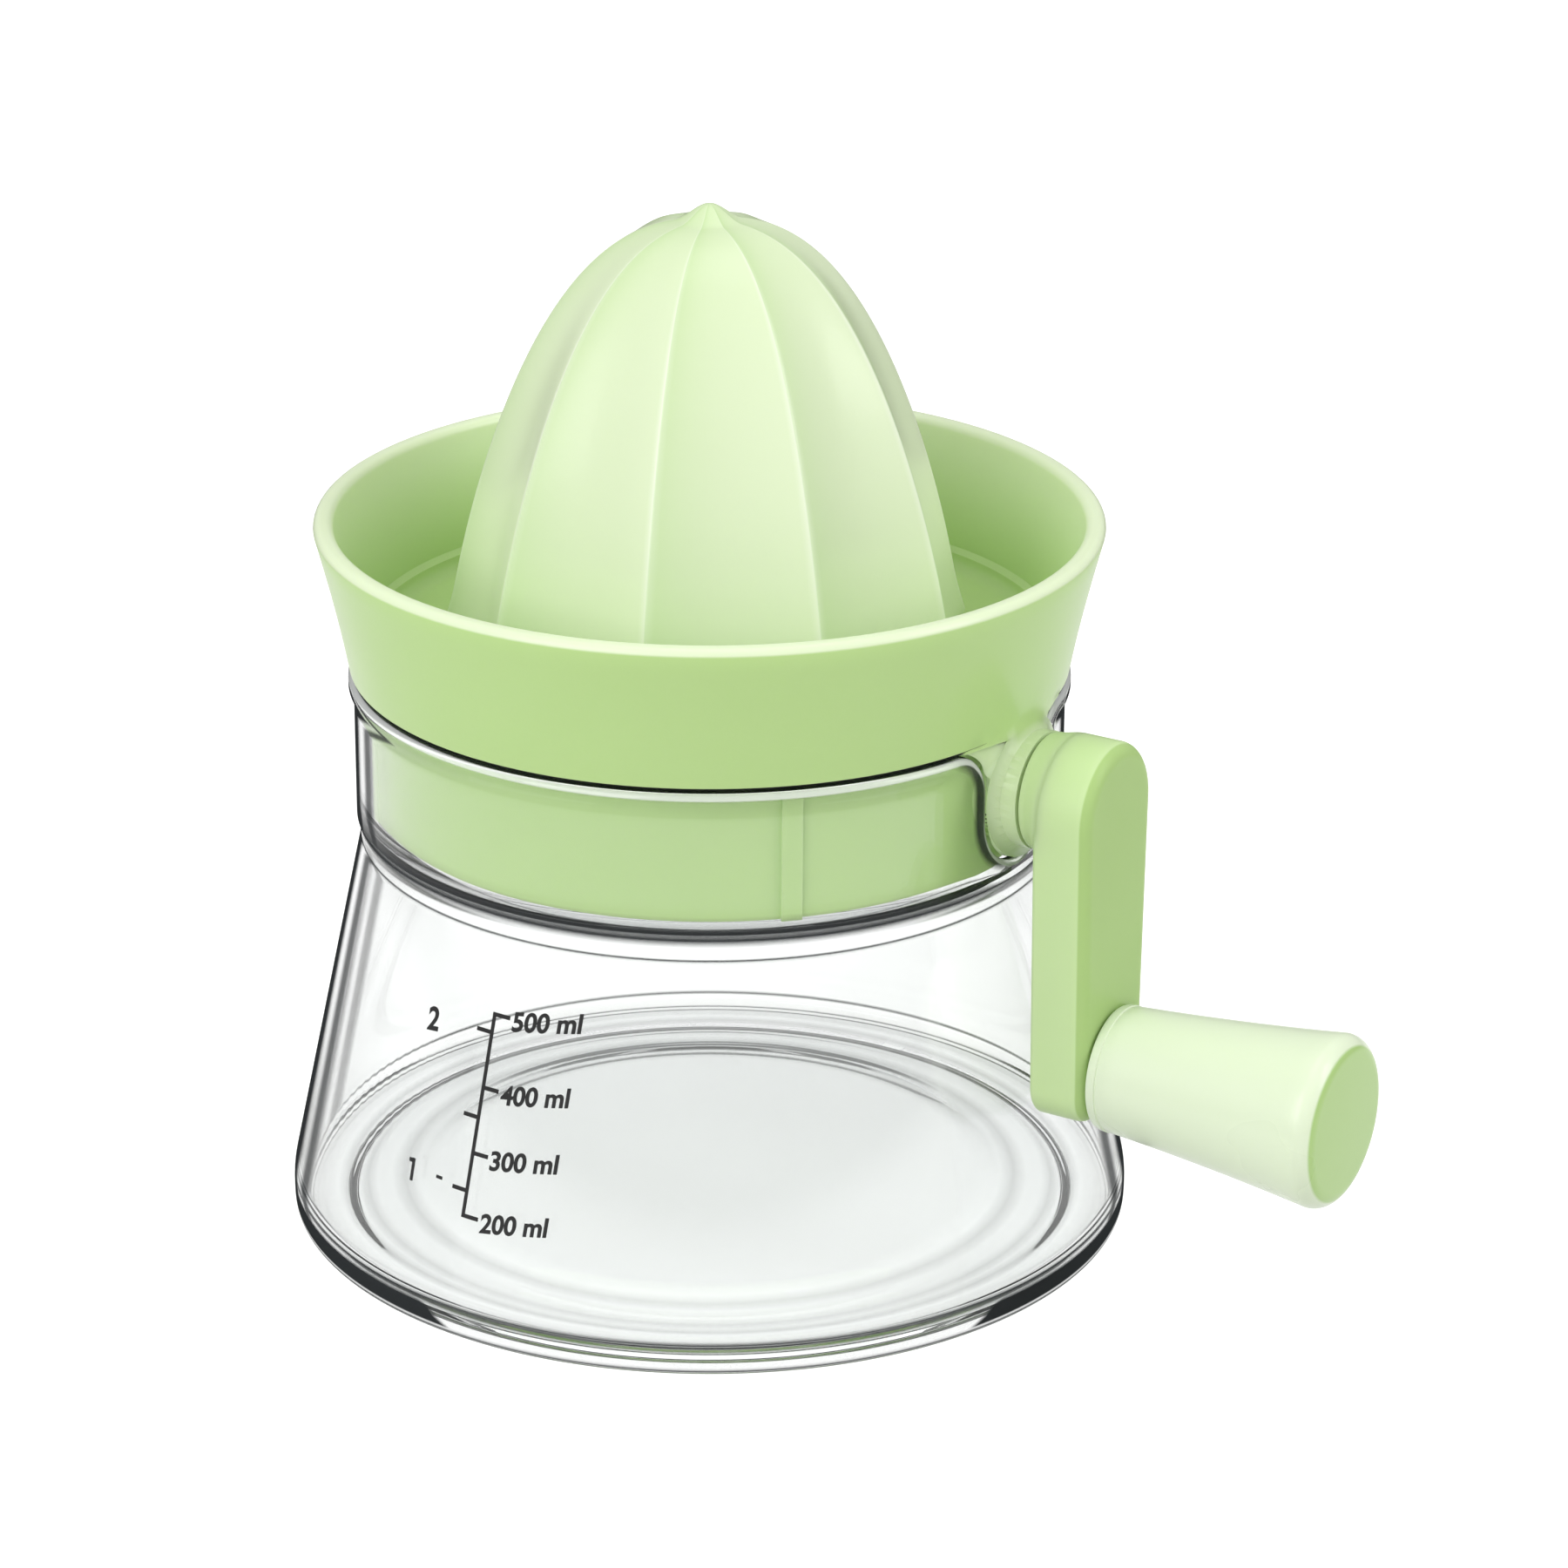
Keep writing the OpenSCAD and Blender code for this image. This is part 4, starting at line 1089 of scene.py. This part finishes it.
def scale_tree():
    """Tree that sets a bar on each spot, with the reach and height that the spot carries."""
    tree = bpy.data.node_groups.new("scale_marks", "GeometryNodeTree")
    named_inputs(tree, (
        ("Spots", "NodeSocketGeometry", None),
        ("Ink height", "NodeSocketFloat", INK_H * MM),
        ("Finish", "NodeSocketMaterial", None)))
    sheet = Sheet(tree)
    given = sheet.add("NodeGroupInput")

    def carried(name):
        spot = sheet.add("GeometryNodeInputNamedAttribute", {"data_type": "FLOAT"}, {"Name": name})
        return sheet.val(spot)

    bar = sheet.add("GeometryNodeMeshCube", None, {
        "Size": (1.0, 1.0, 1.0), "Vertices X": 6, "Vertices Y": 24, "Vertices Z": 2})
    stretch = sheet.add("ShaderNodeCombineXYZ", None, {
        "X": carried("reach"), "Y": carried("tall"), "Z": sheet.val(given, "Ink height")})
    marks = sheet.add("GeometryNodeInstanceOnPoints", None, {
        "Points": sheet.val(given, "Spots"), "Instance": sheet.val(bar), "Scale": sheet.val(stretch)})
    real = sheet.add("GeometryNodeRealizeInstances", None, {"Geometry": sheet.val(marks)})
    painted = sheet.add("GeometryNodeSetMaterial", None,
                        {"Geometry": sheet.val(real), "Material": sheet.val(given, "Finish")})
    sheet.add("NodeGroupOutput", None, {"Mesh": sheet.val(painted)})
    return tree


def scale_lines():
    """The upright line, its ticks, and the dash and figure 1 of the cup scale."""
    top, low, one_z = ML_MARKS[0][1], ML_MARKS[-1][1], CUP_MARKS[-1][1]
    bars = [(0.0, (top + low) / 2, LINE_W, top - low + LINE_W)]
    bars += [(TICK / 2, z, TICK, LINE_W) for _, z in ML_MARKS]
    bars += [(-TICK / 2, z, TICK, LINE_W) for _, z in CUP_MARKS]
    bars += [(run, one_z + rise, reach, tall) for run, rise, reach, tall in CUP_ONE]
    seed = bpy.data.meshes.new("scale_spots")
    seed.from_pydata([(run * MM, z * MM, 0.0) for run, z, _, _ in bars], [], [])
    carry(seed, "reach", [reach * MM for _, _, reach, _ in bars])
    carry(seed, "tall", [tall * MM for _, _, _, tall in bars])
    print_on_jar(bake_tree("scale_lines", scale_tree(), {"Finish": INK}, seed))


def scale_word(name, words, start, z, width, height):
    """Printed figures given by their left end, middle height and size; no width keeps their own shape."""
    curve = bpy.data.curves.new(name, "FONT")
    curve.body = words
    curve.offset = 0.028
    curve.extrude = 0.005
    curve.resolution_u = 6
    holder = bpy.data.objects.new(name + "_holder", curve)
    bpy.context.scene.collection.objects.link(holder)
    mesh = plain_mesh(holder, name)
    low = [min(v.co[k] for v in mesh.vertices) for k in range(2)]
    high = [max(v.co[k] for v in mesh.vertices) for k in range(2)]
    tall = height / (high[1] - low[1])
    wide = width / (high[0] - low[0]) if width else tall
    for vertex in mesh.vertices:
        x, y, thick = vertex.co
        run = (x - low[0]) * wide
        rise = z + run * WORD_RISE + (y - (low[1] + high[1]) / 2) * tall
        vertex.co = Vector((start + run, rise, thick * WORD_THICKER)) * MM
    print_on_jar(mesh)


scale_lines()
for amount, mark_z in ML_MARKS:
    scale_word("scale_" + str(amount), str(amount) + " ml", TICK + WORD_GAP, mark_z - WORD_DROP,
               WORD_W, WORD_H)
scale_word("scale_cup_2", "2", TWO_RUN, CUP_MARKS[0][1] - TWO_DROP, None, TWO_H)


# Stage, light and camera, with lengths in metres

VIEW_TURN = 31.8
VIEW_TILT = 21.93
CAMERA_BACK = 0.768
CAMERA_UP = 0.3759
FLOOR_HALF = 6.0
FLOOR_GREY = 0.6
FLOOR_GLOW = 0.64
FLOOR_DIM = 0.04
FLOOR_DIM_FROM = 0.26
FLOOR_DIM_FULL = 0.42
FLOOR_GLOSS_DIM = 0.15
STAGE_WALL_R = 2.6
STAGE_WALL_LOW = 0.001
STAGE_WALL_TOP = 1.8
STAGE_WALL_SWEEP = 81.0
STAGE_WALL_PANELS = 40
STAGE_WALL_GLOW = 0.6
SKY_LIGHT = 0.95
SKY_IN_GLOSS = 0.45
SKY_IN_CLEAR = 0.05
SKY_SHOWN = 1.0
LAMP_AIM_UP = 0.08


def view_point(right, away, up):
    """A place as seen from the camera: to the right of the jar, beyond it and above the table."""
    turn = radians(VIEW_TURN)
    return Vector((right * cos(turn) - away * sin(turn), right * sin(turn) + away * cos(turn), up))


def by_ray(sheet, light, in_gloss, in_clear, to_camera):
    """One shader for the light on the object and others for gloss, clear plastic and the camera."""
    shown = sheet.switch(sheet.looked_at("Is Glossy Ray"), light, in_gloss)
    shown = sheet.switch(sheet.looked_at("Is Transmission Ray"), shown, in_clear)
    return sheet.switch(sheet.looked_at("Is Camera Ray"), shown, to_camera)


def pale_floor():
    """Matt pale floor that looks white and keeps a soft shadow; gloss and clear plastic lose it far out."""
    material, sheet = new_material("pale_floor")
    grey = (FLOOR_GREY, FLOOR_GREY, FLOOR_GREY, 1.0)
    matt = sheet.val(sheet.add("ShaderNodeBsdfDiffuse", None, {"Color": grey}))
    lit = sheet.val(sheet.add("ShaderNodeAddShader", None, {0: matt, 1: sheet.glow(FLOOR_GLOW)}))
    dim = sheet.glow(FLOOR_DIM)
    reach = sheet.add("ShaderNodeVectorMath", {"operation": "LENGTH"}, {0: object_place(sheet)})
    far_out = sheet.between(sheet.val(reach, "Value"), FLOOR_DIM_FROM, FLOOR_DIM_FULL)
    held = sheet.switch(far_out, lit, dim)
    finish_material(sheet, by_ray(sheet, matt, sheet.switch(FLOOR_GLOSS_DIM, held, dim), held, lit))
    return material


def bright_wall():
    """Wall that only gloss and clear plastic show."""
    material, sheet = new_material("bright_wall")
    clear = sheet.val(sheet.add("ShaderNodeBsdfTransparent"))
    seen = sheet.looked_at("Is Glossy Ray", "Is Transmission Ray")
    finish_material(sheet, sheet.switch(seen, clear, sheet.glow(STAGE_WALL_GLOW)))
    return material


def stage_piece(name, verts, faces, material):
    """A piece of the stage, which isn't part of the object."""
    mesh = bpy.data.meshes.new(name)
    mesh.from_pydata(verts, [], faces)
    mesh.materials.append(material)
    piece = bpy.data.objects.new(name, mesh)
    bpy.context.scene.collection.objects.link(piece)


def front_wall():
    """Panels of a round wall on the camera's side."""
    verts = []
    for k in range(STAGE_WALL_PANELS + 1):
        a = radians(-STAGE_WALL_SWEEP + 2 * STAGE_WALL_SWEEP * k / STAGE_WALL_PANELS)
        verts += [view_point(STAGE_WALL_R * sin(a), -STAGE_WALL_R * cos(a), z)
                  for z in (STAGE_WALL_LOW, STAGE_WALL_TOP)]
    return verts, [(2 * k, 2 * k + 2, 2 * k + 3, 2 * k + 1) for k in range(STAGE_WALL_PANELS)]


def studio_world():
    """Even soft light that shows white behind and stays dim in gloss and clear plastic."""
    world = bpy.data.worlds.new("studio")
    bpy.context.scene.world = world
    world.use_nodes = True
    world.node_tree.nodes.clear()
    sheet = Sheet(world.node_tree)
    skies = [sheet.val(sheet.add("ShaderNodeBackground", None, {"Strength": strength}))
             for strength in (SKY_LIGHT, SKY_IN_GLOSS, SKY_IN_CLEAR, SKY_SHOWN)]
    sheet.add("ShaderNodeOutputWorld", None, {"Surface": by_ray(sheet, *skies)})


def softbox(name, spot, target, width, height, watts):
    """A rectangular lamp that faces a target."""
    lamp = bpy.data.lights.new(name, "AREA")
    lamp.shape = "RECTANGLE"
    lamp.size, lamp.size_y, lamp.energy = width, height, watts
    box = bpy.data.objects.new(name, lamp)
    box.location = spot
    box.rotation_euler = (target - spot).to_track_quat("-Z", "Y").to_euler()
    bpy.context.scene.collection.objects.link(box)


floor_corners = [(FLOOR_HALF * x, FLOOR_HALF * y, 0.0) for x, y in ((-1, -1), (1, -1), (1, 1), (-1, 1))]
stage_piece("floor", floor_corners, [(0, 1, 2, 3)], pale_floor())
stage_piece("front_wall", *front_wall(), bright_wall())
studio_world()
middle = Vector((0.0, 0.0, LAMP_AIM_UP))
softbox("key_box", view_point(right=-0.85, away=-1.0, up=0.85), middle, width=1.0, height=1.0, watts=9.8)
softbox("top_box", view_point(right=0.0, away=0.1, up=1.4), middle, width=0.8, height=0.8, watts=2.0)
softbox("right_box", view_point(right=1.1, away=-0.3, up=0.8), middle, width=0.5, height=0.8, watts=4.5)

camera_data = bpy.data.cameras.new("camera")
camera_data.sensor_width = 36.0
camera_data.lens = 126.4
camera_data.shift_x = 0.0475
camera = bpy.data.objects.new("camera", camera_data)
camera.location = view_point(right=0.0, away=-CAMERA_BACK, up=CAMERA_UP)
camera.rotation_euler = (pi / 2 - radians(VIEW_TILT), 0.0, radians(VIEW_TURN))
bpy.context.scene.collection.objects.link(camera)
bpy.context.scene.camera = camera
bpy.context.scene.view_settings.view_transform = "Standard"
